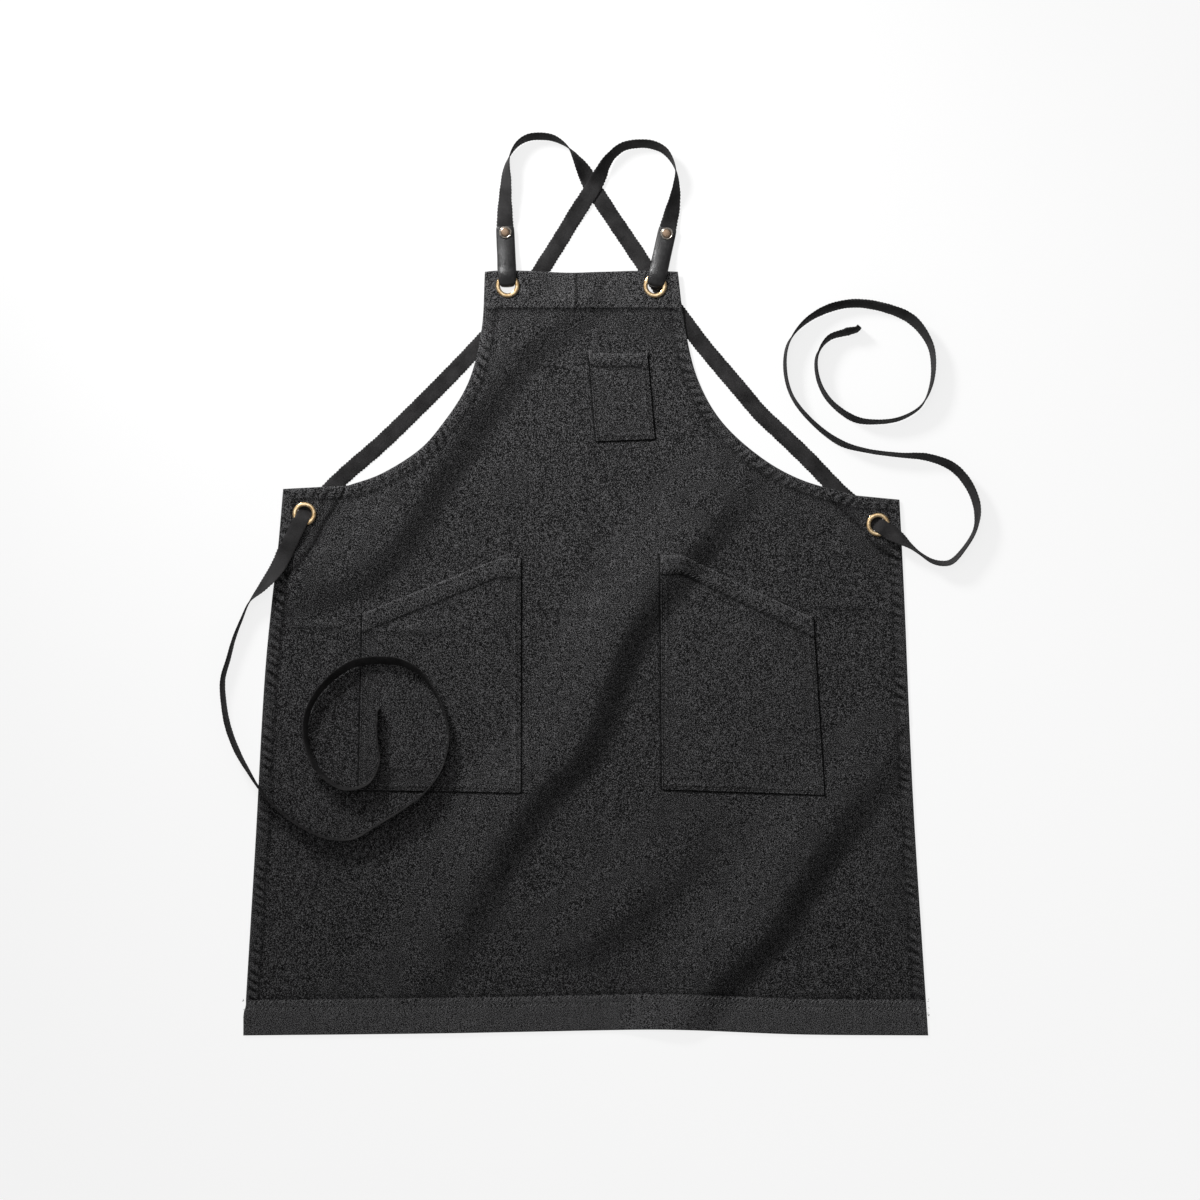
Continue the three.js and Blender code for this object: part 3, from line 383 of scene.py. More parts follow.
class Edge:
    """A closed outline of stretches, clockwise, and where any place lies against it."""

    def __init__(self, stretches, step=RIM_STEP):
        lines = [even(stretch, step) for stretch in stretches]
        self.starts = np.cumsum([0] + [len(line) - 1 for line in lines])
        self.points = np.vstack([line[:-1] for line in lines])
        self.ahead = np.roll(self.points, -1, 0) - self.points
        lengths = np.linalg.norm(self.ahead, axis=1)
        self.reach = np.concatenate([[0], np.cumsum(lengths)[:-1]])
        self.tree = tree_of(self.points)

    def near(self, places):
        """Distance in from the outline, the reach along it and the number of the stretch."""
        index = np.array([self.tree.find((x, y, 0))[1] for x, y in places])
        distance = np.full(len(places), np.inf)
        reach = np.zeros(len(places))
        for i in (index, (index - 1) % len(self.points)):
            ahead = self.ahead[i]
            off = places - self.points[i]
            share = np.clip((off * ahead).sum(1) / np.maximum((ahead**2).sum(1), 1e-9), 0, 1)
            gap = np.linalg.norm(off - share[:, None] * ahead, axis=1)
            closer = gap < distance
            distance[closer] = gap[closer]
            reach[closer] = (self.reach[i] + share * np.linalg.norm(ahead, axis=1))[closer]
        return distance, reach, np.searchsorted(self.starts, index, side="right") - 1

    def moved(self, distance):
        """The outline's points moved in by a distance."""
        out = unit(np.roll(self.ahead, 1, 0)) + unit(self.ahead)
        return self.points - unit(left_of(out)) * distance

    def inset(self, distance, stretches=None):
        """The outline's points moved in, without those that a corner would fold over."""
        moved = self.moved(distance)
        if stretches is not None:
            keep = np.zeros(len(moved), bool)
            for n in stretches:
                keep[self.starts[n] : self.starts[n + 1] + 1] = True
            moved = moved[keep]
        return moved[self.near(moved)[0] > distance * 0.98 - 0.01]

    def area(self):
        x, y = self.points.T
        return abs(np.sum(x * np.roll(y, -1) - y * np.roll(x, -1))) / 2


# Pockets: inner corner in plan, size, slant of the mouth, its hem, and how each side is turned
POCKETS = [
    {"name": "hand_pocket_left", "side": -1, "inner": -72.5, "top": -321, "width": 182, "length": 262,
     "outer": 198, "flat": 25, "hem": 20, "inner_turn": 0, "bottom_turn": -0.9, "outer_turn": -1.3},
    {"name": "hand_pocket_right", "side": 1, "inner": 83.5, "top": -317.5, "width": 182, "length": 262,
     "outer": 198, "flat": 25, "hem": 20, "inner_turn": 0.4, "bottom_turn": -1.9, "outer_turn": 3.6},
    {"name": "bib_pocket", "side": 1, "inner": 3.6, "top": -91, "width": 66, "length": 99,
     "outer": 96, "flat": 66, "hem": 13.5, "inner_turn": 4.6, "bottom_turn": 2, "outer_turn": 5},
]  # fmt: skip


def turned_by(vector, degrees):
    turn = math.radians(degrees)
    x, y = vector
    return np.array([x * math.cos(turn) - y * math.sin(turn), x * math.sin(turn) + y * math.cos(turn)])


class Pocket:
    """A patch of denim sewn on three sides, with a hemmed mouth along its top."""

    def __init__(self, row):
        self.name = row["name"]
        self.hem = row["hem"]
        inner_top = np.array([row["inner"], row["top"]], float)
        inner_bottom = inner_top + turned_by((0, -row["length"]), row["inner_turn"])
        outer_bottom = inner_bottom + turned_by((row["side"] * row["width"], 0), row["bottom_turn"])
        outer_top = outer_bottom + turned_by((0, row["outer"]), row["outer_turn"])
        bend = inner_top + np.array([row["side"] * row["flat"], 0])
        square = row["flat"] == row["width"]
        self.mouth = np.array([inner_top, outer_top] if square else [inner_top, bend, outer_top])
        self.sides = [
            np.array([inner_top, inner_bottom]),
            np.array([inner_bottom, outer_bottom]),
            np.array([outer_bottom, outer_top]),
        ]
        if row["side"] == 1:
            stretches = [self.mouth, *(side[::-1] for side in reversed(self.sides))]
        else:
            stretches = [self.mouth[::-1], *self.sides]
        self.edge = Edge(stretches, 2.2)
        self.side_row = np.vstack([self.inset_side(i) for i in range(3)])
        self.mouth_row = self.along_mouth(self.hem - MOUTH_STITCH, SEWN_STEP, 1.5)
        self.tree = tree_along([self.side_row, self.mouth_row])

    def along_mouth(self, drop, step, margin):
        """A line below the mouth, clear of the pocket's edge by a margin."""
        line = even(self.mouth - np.array([0, drop]), step)
        line = line[within(line, self.edge.points)]
        return line[self.edge.near(line)[0] > margin]

    def inset_side(self, i):
        """A sewn side moved in to its stitches."""
        a, b = self.sides[i]
        middle = self.edge.points.mean(0)
        ahead = unit(b - a)
        across = left_of(ahead)
        across *= np.sign((middle - a) @ across)
        start = a + across * POCKET_STITCH + ahead * (POCKET_STITCH if i > 0 else 1)
        finish = b + across * POCKET_STITCH - ahead * (POCKET_STITCH if i < 2 else 1)
        return even([start, finish], SEWN_STEP)

    def mouth_drop(self, places):
        """How far below the mouth a place lies."""
        line = self.mouth[np.argsort(self.mouth[:, 0])]
        return np.interp(places[:, 0], line[:, 0], line[:, 1]) - places[:, 1]

    def layers(self, places):
        x, y = places.T
        ground = body_top(places)
        depth, reach, stretch = self.edge.near(places)
        drop = self.mouth_drop(places)
        sewn_depth = np.where(stretch == 0, FAR, depth)
        turned_in = step_at(POCKET_TURN_IN - sewn_depth, 1.5)
        mouth = step_at(self.hem - drop, 1.4)
        hem = np.maximum(mouth, 0.8 * turned_in)
        thick = POCKET_CLOTH + (POCKET_HEM_CLOTH - POCKET_CLOTH) * hem
        free = smoothstep(np.minimum(depth, 40) / 26)
        opened = 0.9 * np.exp(-((drop / 9) ** 2)) * smoothstep(sewn_depth / 30)
        slack = 0.35 * soft_noise(x, y, 24, 61) + 0.3 * soft_noise(x + y, 2 * (y - x), 30, 62)
        low = ground + GAP + POCKET_BULGE * free * (0.8 + 0.5 * slack) + opened
        pucker = 0.3 * line_at(depth - 3, 4) * gathers(reach, depth, 63, 8)
        pucker += 0.36 * line_at(drop - self.hem + 3, 6) * gathers(x, drop, 64, 7, 0.9)
        rows = groove(self.tree, places)
        rounding = np.sqrt(1 - (1 - np.clip(depth / 0.9, 0, 1)) ** 2)
        high = low + thick / 2 * (1 + rounding) + (pucker - 0.75 * rows) * rounding
        # Paler from wear on the hem and the puckers' crests, with painted shade in the stitch grooves.
        wear_and_painted_shade = 0.04 + 0.4 * mouth + 0.22 * turned_in + 2 * pucker - 1.1 * rows
        # A pale line along the mouth's edge, and a painted shadow line under the mouth's hem.
        wear_and_painted_shade += 2.2 * line_at(drop - 0.6, 2.2) - 1.0 * line_at(drop - self.hem - 1.5, 1.9)
        # Painted light and shade on the slopes of the creases and folds.
        wear_and_painted_shade += 0.9 * creased(places)[1] + 0.5 * folded(places)[1]
        return low + thick / 2 * (1 - rounding), high, wear_and_painted_shade

    def top(self, places):
        return self.layers(places)[1]

    def make(self):
        rows = [self.edge.inset(depth) for depth in (0.3, 0.9, 1.9, 3.0, 4.1, 5.2, 6.6, 8.4, 11)]
        offs = (-5, -MOUTH_STITCH, -1.2, 0, 1.2, 3.4)
        rows += [self.along_mouth(self.hem + off, 2.6, 11.6) for off in offs]
        cut = tessellate(self.edge, [], rows, POCKET_CELL, 6)
        pocket = closed_sheet(f"{self.name}_denim", cut, self.layers, POCKET_DENIM)
        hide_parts(self.name)
        middle = self.edge.points.mean(0)
        rows = [
            stitch_row(self.side_row, 4.1, 2.4, 0.66, 5, 0.5, 65),
            stitch_row(self.mouth_row, 4.3, 3.4, 0.66, 44, 0.5, 66),
            *(bar_tack(end + (middle - end) * 0.03) for end in (self.mouth[0], self.mouth[-1])),
        ]
        threads = thread_mesh(f"{self.name}_stitches", rows, self.top)
        span = np.ptp(self.edge.points, axis=0) * MM
        self.edge.area() * MM**2


pockets = [Pocket(row) for row in POCKETS]


# Places of the apron's corners, grommets and folds
bib_corners = [np.array([BIB_SHIFT + side * BIB_WIDTH / 2, 0]) for side in (-1, 1)]
waist_corners = [
    np.array([WAIST_SHIFT + side * WAIST_WIDTH / 2, -ARMHOLE_DEPTH - drop])
    for side, drop in ((-1, 0), (1, RIGHT_CORNER_DROP))
]
hem_corners = [np.array([side * HEM_WIDTH / 2, -BODY_LENGTH]) for side in (-1, 1)]
bib_grommets = [middle_of(f"bib_grommet_{word}")[0] for word in SIDES]
waist_grommets = [middle_of(f"waist_grommet_{word}")[0] for word in SIDES]


def stepped(a, b, rows):
    """Places between two corners, from their shares down and out."""
    return a + (b - a) * np.array(rows)[:, ::-1]


def bottom_at(x):
    """Level of the bottom edge in plan, across the apron."""
    across, up = np.array(BOTTOM_EDGE).T
    share = (x + HEM_WIDTH / 2) / HEM_WIDTH
    fine = spline(np.column_stack([across * HEM_WIDTH, up]), 8)
    return -BODY_LENGTH + np.interp(share * HEM_WIDTH, fine[:, 0], fine[:, 1])


def body_stretches():
    """Right armhole, its corner, right side, bottom, left side, left corner, left armhole, top."""
    sides = []
    for i, (armhole, side) in enumerate(((LEFT_ARMHOLE, LEFT_SIDE), (RIGHT_ARMHOLE, RIGHT_SIDE))):
        curve = spline(stepped(bib_corners[i], waist_corners[i], armhole)[:-1])
        corner = np.vstack([curve[-1], waist_corners[i]])
        sides.append((curve, corner, spline(stepped(waist_corners[i], hem_corners[i], side))))
    x = np.linspace(hem_corners[1][0], hem_corners[0][0], 120)
    bottom = np.column_stack([x, bottom_at(x)])
    left, right = sides
    top = [(bib_corners[0][0] + across * BIB_WIDTH, up) for across, up in TOP_EDGE]
    return [*right, bottom, left[2][::-1], left[1][::-1], left[0][::-1], spline(top)]


body_edge = Edge(body_stretches())
SIDE_STRETCHES = (0, 1, 2, 4, 5, 6)
FOLD_LINES = [spline(np.array(rows) * (HEM_WIDTH / 2, -BODY_LENGTH, FOLD_HEIGHT), 5) for rows in FOLDS]


def folded(places):
    """Height of the folds, long on their upper left and steep on their lower right, with painted shade on
    the steep side and painted light on the long side.
    """
    total = np.zeros(len(places))
    rubbing_and_slope_shade = np.zeros(len(places))
    for line in FOLD_LINES:
        distance, side, height = nearest(line, places)
        share = np.clip(distance / np.where(side > 0, FOLD_DARK_WIDTH, FOLD_LIT_WIDTH), 0, 1)
        total += height * (1 - smoothstep(share))
        slope = 4 * share * (1 - share) * height / FOLD_HEIGHT
        # Painted shade down the steep lower right slope and painted light on the long upper left one.
        rubbing_and_slope_shade += slope * np.where(side > 0, -1, 0.3)
    return total, rubbing_and_slope_shade


def creased(places):
    """Height of the small creases, with painted light on their upper side and painted shade on their lower
    side.
    """
    total = np.zeros(len(places))
    rubbing_and_slope_shade = np.zeros(len(places))
    for ax, ay, bx, by, width, height in CREASES:
        middle = ((ax + bx) / 2 + 1.5, (ay + by) / 2 + 3)
        line = spline([(ax, ay, 0.2), (*middle, 1), (bx, by, 0.2)], 8)
        distance, side, share = nearest(line, places)
        across = distance * side / width
        raised = height * share * np.exp(-(across**2))
        total += raised
        # Painted light on each crease's upper side and painted shade on its lower side.
        rubbing_and_slope_shade += raised * across * np.sign(bx - ax)
    return total, rubbing_and_slope_shade


# The straps' routes: x, y, lean, base


def on_tab(side, rise):
    """A place on a leather tab, at a rise from its grommet."""
    lean = math.radians(TAB_LEANS[side])
    return bib_grommets[side] + rise * np.array([math.sin(lean), math.cos(lean)])


LEG_LOW = SNAP_BACK_HEIGHT + GAP
STRAP_END_LOW = LEG_LOW + LEATHER + GAP
FRONT_LEG_LOW = STRAP_END_LOW + WEBBING + GAP
loops = [
    np.array(rows) * (BIB_WIDTH, LOOP_RISE, 1, STRAP_TOP) + (BIB_SHIFT, 0, 0, 0)
    for rows in (LEFT_LOOP, RIGHT_LOOP)
]


def run_points(waist_side):
    """Where a strap goes behind the bib and past the armhole, to just before its grommet."""
    start = loops[1 - waist_side][-1]
    grommet = waist_grommets[waist_side]
    way = grommet - start[:2]
    rows = [LEFT_RUN, RIGHT_RUN][waist_side]
    run = [(*(start[:2] + way * along + left_of(way) * bow), start[2], 0) for along, bow in rows]
    toward = unit(np.array(run[-1][:2]) - grommet)
    end = grommet + toward * (GROMMET_HOLE / 2 + STRAP_END_BEFORE_HOLE)
    return run, end, toward


def strap_points(tab_side):
    """A strap's route from its snap, round its loop and behind the cloth to its waist grommet."""
    run, end, toward = run_points(1 - tab_side)
    lean = loops[tab_side][-1][2]
    rises = (SNAP_RISE - SNAP_CAP / 2, SNAP_RISE, TAB_RISE)
    tucked = [(*on_tab(tab_side, rise), 0, STRAP_END_LOW) for rise in rises]
    ending = [(*(end + toward * before), lean, 0) for before in (STRAP_END_BEFORE_HOLE, 0)]
    return np.array([*tucked, *loops[tab_side], *run, *ending])


straps = [strap_points(side) for side in (0, 1)]
strap_lines = [np.column_stack([points[:, :2], np.full(len(points), STRAP_TOP)]) for points in straps]


# Heights of the cloth


def soft_max(a, b):
    """The higher of two heights, eased where they meet."""
    return (a + b + np.sqrt((a - b) ** 2 + SOFT_MEETING**2)) / 2 - SOFT_MEETING / 2


def seat_height(places, seats, radius, height):
    """How high grommets hold the cloth, which falls away from them over SEAT_FALL."""
    best = np.zeros(len(places))
    for seat in seats:
        past = np.linalg.norm(places - seat, axis=1) - radius
        best = np.maximum(best, height * (1 - smoothstep(past / SEAT_FALL)))
    return best


def underside(places):
    """How high the panel's underside lies over its folds and over what is below it."""
    x, y = places.T
    lift = np.zeros(len(places))
    for line in strap_lines:
        past = nearest(line, places)[0] - WEBBING_WIDTH / 2 - 3
        lift = np.maximum(lift, STRAP_TOP * (1 - smoothstep(past / STRAP_FALL)))
    bib_seat = seat_height(places, bib_grommets, TAB_WIDTH / 2 + BIB_GROMMET_DROP, BIB_SEAT)
    waist_seat = seat_height(places, waist_grommets, GROMMET_FLANGE / 2 + 2, WAIST_SEAT)
    seats = np.maximum(bib_seat, waist_seat)
    swell = soft_noise(x + 0.5 * y, y - 0.5 * x, 95, 3) + 0.5 * soft_noise(x, y, 48, 4)
    crumple = soft_noise(x + 0.6 * y, 3.2 * (y - 0.6 * x), 60, 5)
    loose = 1.1 * np.clip(swell + 0.15, 0, None) + 0.35 * np.clip(crumple, 0, None)
    loose += creased(places)[0]
    held = smoothstep(np.minimum(seats, BIB_SEAT) / 2)
    return soft_max(folded(places)[0] + loose * (1 - held), np.maximum(lift, seats))


hem_x = np.linspace(-HEM_WIDTH / 2 - 4, HEM_WIDTH / 2 + 4, 300)
seam_x = BIB_SHIFT - 8.5
PATCHES = [
    [(1.11, 0.0), (0.9, 0.257), (0.72, 0.45), (0.575, 0.658), (0.3, 0.9), (-0.03, 1.12)],
    [(1.2, 0.03), (0.73, 0.32), (0.44, 0.55), (0.13, 0.71), (-0.02, 0.74)],
]


def patch_line(side, off):
    """A stitched edge of a corner patch, moved off towards the corner."""
    inward = 1 if side == 0 else -1
    corner = waist_corners[side]
    rows = corner + np.array(PATCHES[side]) * (inward * PATCH_WIDTH, -PATCH_LENGTH)
    line = even(spline(rows), 1.5)
    ahead = unit(np.gradient(line, axis=0))
    return line - off * inward * left_of(ahead)


def hem_row(height):
    """A line across the apron at a height over its bottom edge."""
    return np.column_stack([hem_x, bottom_at(hem_x) + height])


def band_row(height):
    x = np.linspace(bib_corners[0][0] - 8, bib_corners[1][0] + 8, 90)
    return np.column_stack([x, np.full(len(x), -height) + 0.6 * wander(x, 26, 8)])


def clipped(line, margin):
    """The stretch of a line that lies inside the panel, clear of its edge."""
    line = line[within(line, body_edge.points)]
    return line[body_edge.near(line)[0] > margin]


body_rows = {
    "hem_upper": clipped(even(hem_row(HEM_STITCH_HIGH), SEWN_STEP), 2),
    "hem_lower": clipped(even(hem_row(HEM_STITCH_LOW), SEWN_STEP), 2),
    "band": clipped(even(band_row(BAND_STITCH), SEWN_STEP), 2),
    "left_side": body_edge.inset(SIDE_STITCH, (4, 5, 6)),
    "right_side": body_edge.inset(SIDE_STITCH, (0, 1, 2)),
}
for patch_side, word in enumerate(SIDES):
    body_rows[f"{word}_patch"] = clipped(patch_line(patch_side, 0), 1)
    body_rows[f"{word}_patch_second"] = clipped(patch_line(patch_side, -PATCH_ROW_GAP), 1)
row_tree = tree_along(body_rows.values())
patch_tree = tree_along(row for key, row in body_rows.items() if key.endswith("patch"))
patch_rim_tree = tree_along(row for key, row in body_rows.items() if key.endswith("second"))


def groove(tree, places, width=1.5):
    """How near each place is to a row of stitches."""
    return line_at(away(tree, places), width)


def gathers(reach, depth, seed, pitch=10.5, slant=0.55):
    """Little slanted puckers along a sewn edge."""
    drift = 4 * wander(reach, 23, seed)
    size = 0.6 + 0.4 * wander(reach, 31, seed + 1)
    return size * np.sin(2 * math.pi * (reach + slant * depth + drift) / pitch)


def body_layers(places):
    """Underside and top of the panel, and how pale it is from wear, with painted light and shade on its
    folds and creases and painted shade in its grooves, under its hems and beside its pockets.
    """
    x, y = places.T
    low = underside(places)
    depth, reach, stretch = body_edge.near(places)
    at_side = np.isin(stretch, SIDE_STRETCHES)
    over_hem = y - bottom_at(x)
    side_hem = step_at(SIDE_HEM - depth, 1.4) * at_side
    bottom_hem = step_at(HEM_HEIGHT - over_hem, 1.6)
    band = step_at(y + BAND_HEIGHT, 1.6)
    hem = np.maximum(np.maximum(side_hem, bottom_hem), band)
    thick = CLOTH + (HEM_CLOTH - CLOTH) * hem
    side_zone = np.sin(math.pi * np.clip(depth / (SIDE_STITCH + 5), 0, 1)) * at_side
    pucker = 0.75 * side_zone * gathers(reach, depth, 11)
    pucker += 0.32 * line_at(over_hem - 35, 9) * gathers(x, over_hem, 21, 7.5, 0.8)
    pucker += 0.32 * line_at(y + BAND_HEIGHT - 3, 7) * gathers(x, y, 31, 7.5, -0.6)
    seam = (line_at(x - seam_x, 1.6) - 0.9 * line_at(x - seam_x - 3.2, 1.7)) * band
    rows = groove(row_tree, places)
    clear = np.ones(len(places))
    for grommet in [*bib_grommets, *waist_grommets]:
        clear *= smoothstep((np.linalg.norm(places - grommet, axis=1) - GROMMET_FLANGE / 2) / 9)
    rounding = np.sqrt(1 - (1 - np.clip(depth / (HEM_CLOTH / 2), 0, 1)) ** 2)
    sunk = groove(patch_tree, places, 1.4)
    rubbed_seam = groove(patch_rim_tree, places, 3)
    detail = (pucker + 1.2 * seam - 0.65 * rows - 0.6 * sunk) * clear
    high = low + thick / 2 * (1 + rounding) + detail * rounding
    # Painted shade in lines just under the bottom hem, the band and the side hems.
    under_hems = line_at(over_hem - HEM_HEIGHT - 1.6, 1.8) + line_at(y + BAND_HEIGHT + 1.7, 1.7)
    under_hems += 0.8 * line_at(depth - SIDE_HEM - 1.2, 1.9) * at_side
    banding = gathers(x, over_hem, 41, 15, 0.2)
    wear_and_painted_shade = 0.5 * side_hem + (2 + 0.3 * banding) * bottom_hem + 0.6 * band + 0.5 * line_at(depth, 2)
    # Puckers and the seam paler from wear, painted shade under the hems, and painted light and shade on the
    # creases.
    wear_and_painted_shade += 2.9 * pucker * clear + 1.6 * seam - 0.75 * under_hems + 0.9 * creased(places)[1]
    # Painted shade in the stitch grooves and the patches' sunk rows, and paler wear along the patches'
    # second rows.
    wear_and_painted_shade -= (0.6 * rows + 0.8 * sunk - 0.5 * rubbed_seam) * clear
    # Darker towards the bottom hem.
    wear_and_painted_shade -= 0.05 * smoothstep((HEM_HEIGHT + 55 - over_hem) / 55) * (1 - bottom_hem)
    # Painted shadow on the panel along the pockets' sewn edges.
    for pocket in pockets:
        off, _, side = pocket.edge.near(places)
        wear_and_painted_shade -= 1.5 * line_at(off, 1.7) * (side > 0)
    # Painted light and shade on the folds' slopes.
    return low + thick / 2 * (1 - rounding), high, wear_and_painted_shade + 0.5 * folded(places)[1]


def body_top(places):
    return body_layers(places)[1]


# Meshes


def add_object(name, data):
    made = bpy.data.objects.new(name, data)
    bpy.context.scene.collection.objects.link(made)
    return made


def piece(name, vertices, faces, finish, columns):
    """A closed mesh in the row frame from millimetres of the plan, which rides with the apron."""
    vertices = np.asarray(vertices, float)
    mesh = bpy.data.meshes.new(name)
    mesh.from_pydata(((vertices + SHIFT) * MM).tolist(), [], [tuple(face) for face in faces])
    for key, values in columns.items():
        mesh.attributes.new(key, "FLOAT", "POINT").data.foreach_set("value", np.asarray(values, np.float32))
    mesh.update()
    mesh.shade_smooth()
    made = add_object(name, mesh)
    mesh.materials.append(finish)
    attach(made, "root")
    return made


def circle(middle, radius, count):
    turn = np.linspace(0, 2 * math.pi, count, endpoint=False)
    return middle + radius * np.column_stack([np.cos(turn), np.sin(turn)])


def tessellate(edge, holes, rows, cell, seed):
    """Places and triangles that fill an outline, with rows of places along its seams."""
    rims = [edge.points, *(circle(middle, radius, HOLE_POINTS) for middle, radius in holes)]
    rows = np.vstack(rows)
    rows = rows[within(rows, edge.points)]
    rows = rows[edge.near(rows)[0] > 0.2]
    fixed = np.vstack([*rims, rows])
    low, high = edge.points.min(0), edge.points.max(0)
    lines = np.arange(low[1], high[1], cell * 0.87)
    columns = np.arange(low[0], high[0], cell)
    fill = np.array([(x + (j % 2) * cell / 2, y) for j, y in enumerate(lines) for x in columns])
    fill += np.random.default_rng(seed).uniform(-0.12, 0.12, fill.shape) * cell
    fill = fill[within(fill, edge.points)]
    tree = tree_of(fixed)
    fill = fill[away(tree, fill) > 0.6 * cell]
    places = np.vstack([fixed, fill])
    loops_of_rims = []
    first = 0
    for rim in rims:
        loops_of_rims += [(first + i, first + (i + 1) % len(rim)) for i in range(len(rim))]
        first += len(rim)
    found = delaunay_2d_cdt([Vector(place) for place in places], loops_of_rims, [], 0, 1e-5)
    places = np.array([tuple(place) for place in found[0]])
    rim = np.array([any(i < first for i in source) for source in found[3]])
    faces = np.array([face for face in found[2] if len(face) == 3])
    centres = places[faces].mean(1)
    keep = within(centres, edge.points) & ~rim[faces].all(1)
    for middle, radius in holes:
        keep &= np.linalg.norm(centres - middle, axis=1) > radius
    faces = faces[keep]
    a, b, c = (places[faces[:, i]] for i in range(3))
    turned = (b[:, 0] - a[:, 0]) * (c[:, 1] - a[:, 1]) - (b[:, 1] - a[:, 1]) * (c[:, 0] - a[:, 0]) < 0
    faces[turned] = faces[turned][:, ::-1]
    return places, faces, rim


def closed_sheet(name, tessellated, layers, finish):
    """A top and an underside that meet along the rim."""
    places, faces, rim = tessellated
    low, high, wear_and_painted_shade = layers(places)
    high = np.where(rim, (low + high) / 2, high)
    inner = np.flatnonzero(~rim)
    below = np.arange(len(places))
    below[inner] = len(places) + np.arange(len(inner))
    vertices = np.vstack([np.column_stack([places, high]), np.column_stack([places, low])[inner]])
    sides = np.vstack([faces, below[faces][:, ::-1]])
    used = np.zeros(len(vertices), bool)
    used[sides.ravel()] = True
    renumber = np.cumsum(used) - 1
    wear_and_painted_shade = np.concatenate([wear_and_painted_shade, wear_and_painted_shade[inner]])[used]
    return piece(name, vertices[used], renumber[sides], finish, {"wear_and_painted_shade": wear_and_painted_shade})


def band_mesh(name, middle, across, width, thickness, cup, finish, reach=None):
    """A closed strip swept along its middle line, with blunt rounded edges."""
    tangent = unit(np.gradient(middle, axis=0))
    across = unit(across - (across * tangent).sum(1, keepdims=True) * tangent)
    normal = np.cross(tangent, across)
    u = np.sin(np.linspace(-math.pi / 2, math.pi / 2, BAND_SIDES))
    blunt = np.sqrt(1 - np.abs(u) ** 6)
    u = np.concatenate([u, u[-2:0:-1]])
    level = np.concatenate([blunt, -blunt[-2:0:-1]]) / 2
    count, sides = len(middle), len(u)
    rise = thickness[:, None] * level + cup[:, None] * (u**2 - 0.35)
    reach_across = width[:, None] / 2 * u
    rings = middle[:, None] + across[:, None] * reach_across[..., None] + normal[:, None] * rise[..., None]
    i, j = np.meshgrid(np.arange(count - 1), np.arange(sides), indexing="ij")
    after = (j + 1) % sides
    corners = (i * sides + j, (i + 1) * sides + j, (i + 1) * sides + after, i * sides + after)
    faces = [tuple(face) for face in np.stack(corners, -1).reshape(-1, 4).tolist()]
    faces.append(tuple(range(sides)))
    faces.append(tuple(reversed(range((count - 1) * sides, count * sides))))
    along = reach_of(middle) if reach is None else reach
    columns = {"along": np.repeat(along, sides), "over": reach_across.ravel()}
    return piece(name, rings.reshape(-1, 3), faces, finish, columns)


def webbing(name, points, finish):
    """Webbing along route points: x, y, lean, base, width, cup and layers of cloth."""
    stations = even(spline(points), WEBBING_STEP)
    x, y, lean, base, width, cup, layers = stations.T
    lean = np.radians(eased(lean, 9))
    base = eased(base, 5)
    width = eased(width, 4)
    cup = eased(cup, 6)
    thickness = WEBBING * layers
    sag = cup * np.where(np.cos(lean) > 0, 0.35, 0.65)
    upright = (width / 2 + SELVEDGE_BUMP) * np.abs(np.sin(lean))
    z = base + upright + (thickness / 2 + sag) * np.abs(np.cos(lean)) + WEBBING_CLEARANCE
    middle = np.column_stack([x, y, eased(z, 4)])
    tangent = unit(np.gradient(middle, axis=0))
    level = unit(np.cross([0, 0, 1], tangent))
    raised = np.cross(tangent, level)
    across = np.cos(lean)[:, None] * level + np.sin(lean)[:, None] * raised
    reach = reach_of(stations)
    ripple = 0.9 * np.sin(2 * math.pi * reach / SELVEDGE_PITCH)
    ribbed = width + ripple + 0.5 * wander(reach, 6, 40)
    made = band_mesh(name, middle, across, ribbed, thickness, cup, finish, reach)
    return made, middle


def lathe(name, profile, middle, finish):
    """A closed body of (radius, level) points turned about its upright middle."""
    profile = np.asarray(profile, float)
    count = LATHE_SIDES
    turn = np.linspace(0, 2 * math.pi, count, endpoint=False)
    x = middle[0] + profile[:, :1] * np.cos(turn)
    y = middle[1] + profile[:, :1] * np.sin(turn)
    rings = np.stack([x, y, np.repeat(profile[:, 1:], count, 1)], -1)
    size = len(profile)
    closed = profile[0, 0] > 0.01
    faces = []
    for i in range(size if closed else size - 1):
        after = (i + 1) % size
        faces += [
            (i * count + j, i * count + (j + 1) % count, after * count + (j + 1) % count, after * count + j)
            for j in range(count)
        ]
    if not closed:
        faces.append(tuple(reversed(range(count))))
        faces.append(tuple(range((size - 1) * count, size * count)))
    core = np.repeat(profile[:, 0] < CORE_RADIUS, count)
    return piece(name, rings.reshape(-1, 3), faces, finish, {"core": core})


STITCH_RINGS = [(-0.5, 0.35), (-0.33, 0.9), (0, 1), (0.33, 0.9), (0.5, 0.35)]
STITCH_SIDES = 6
TACK_TURN = 88
TACK_LENGTH = 9


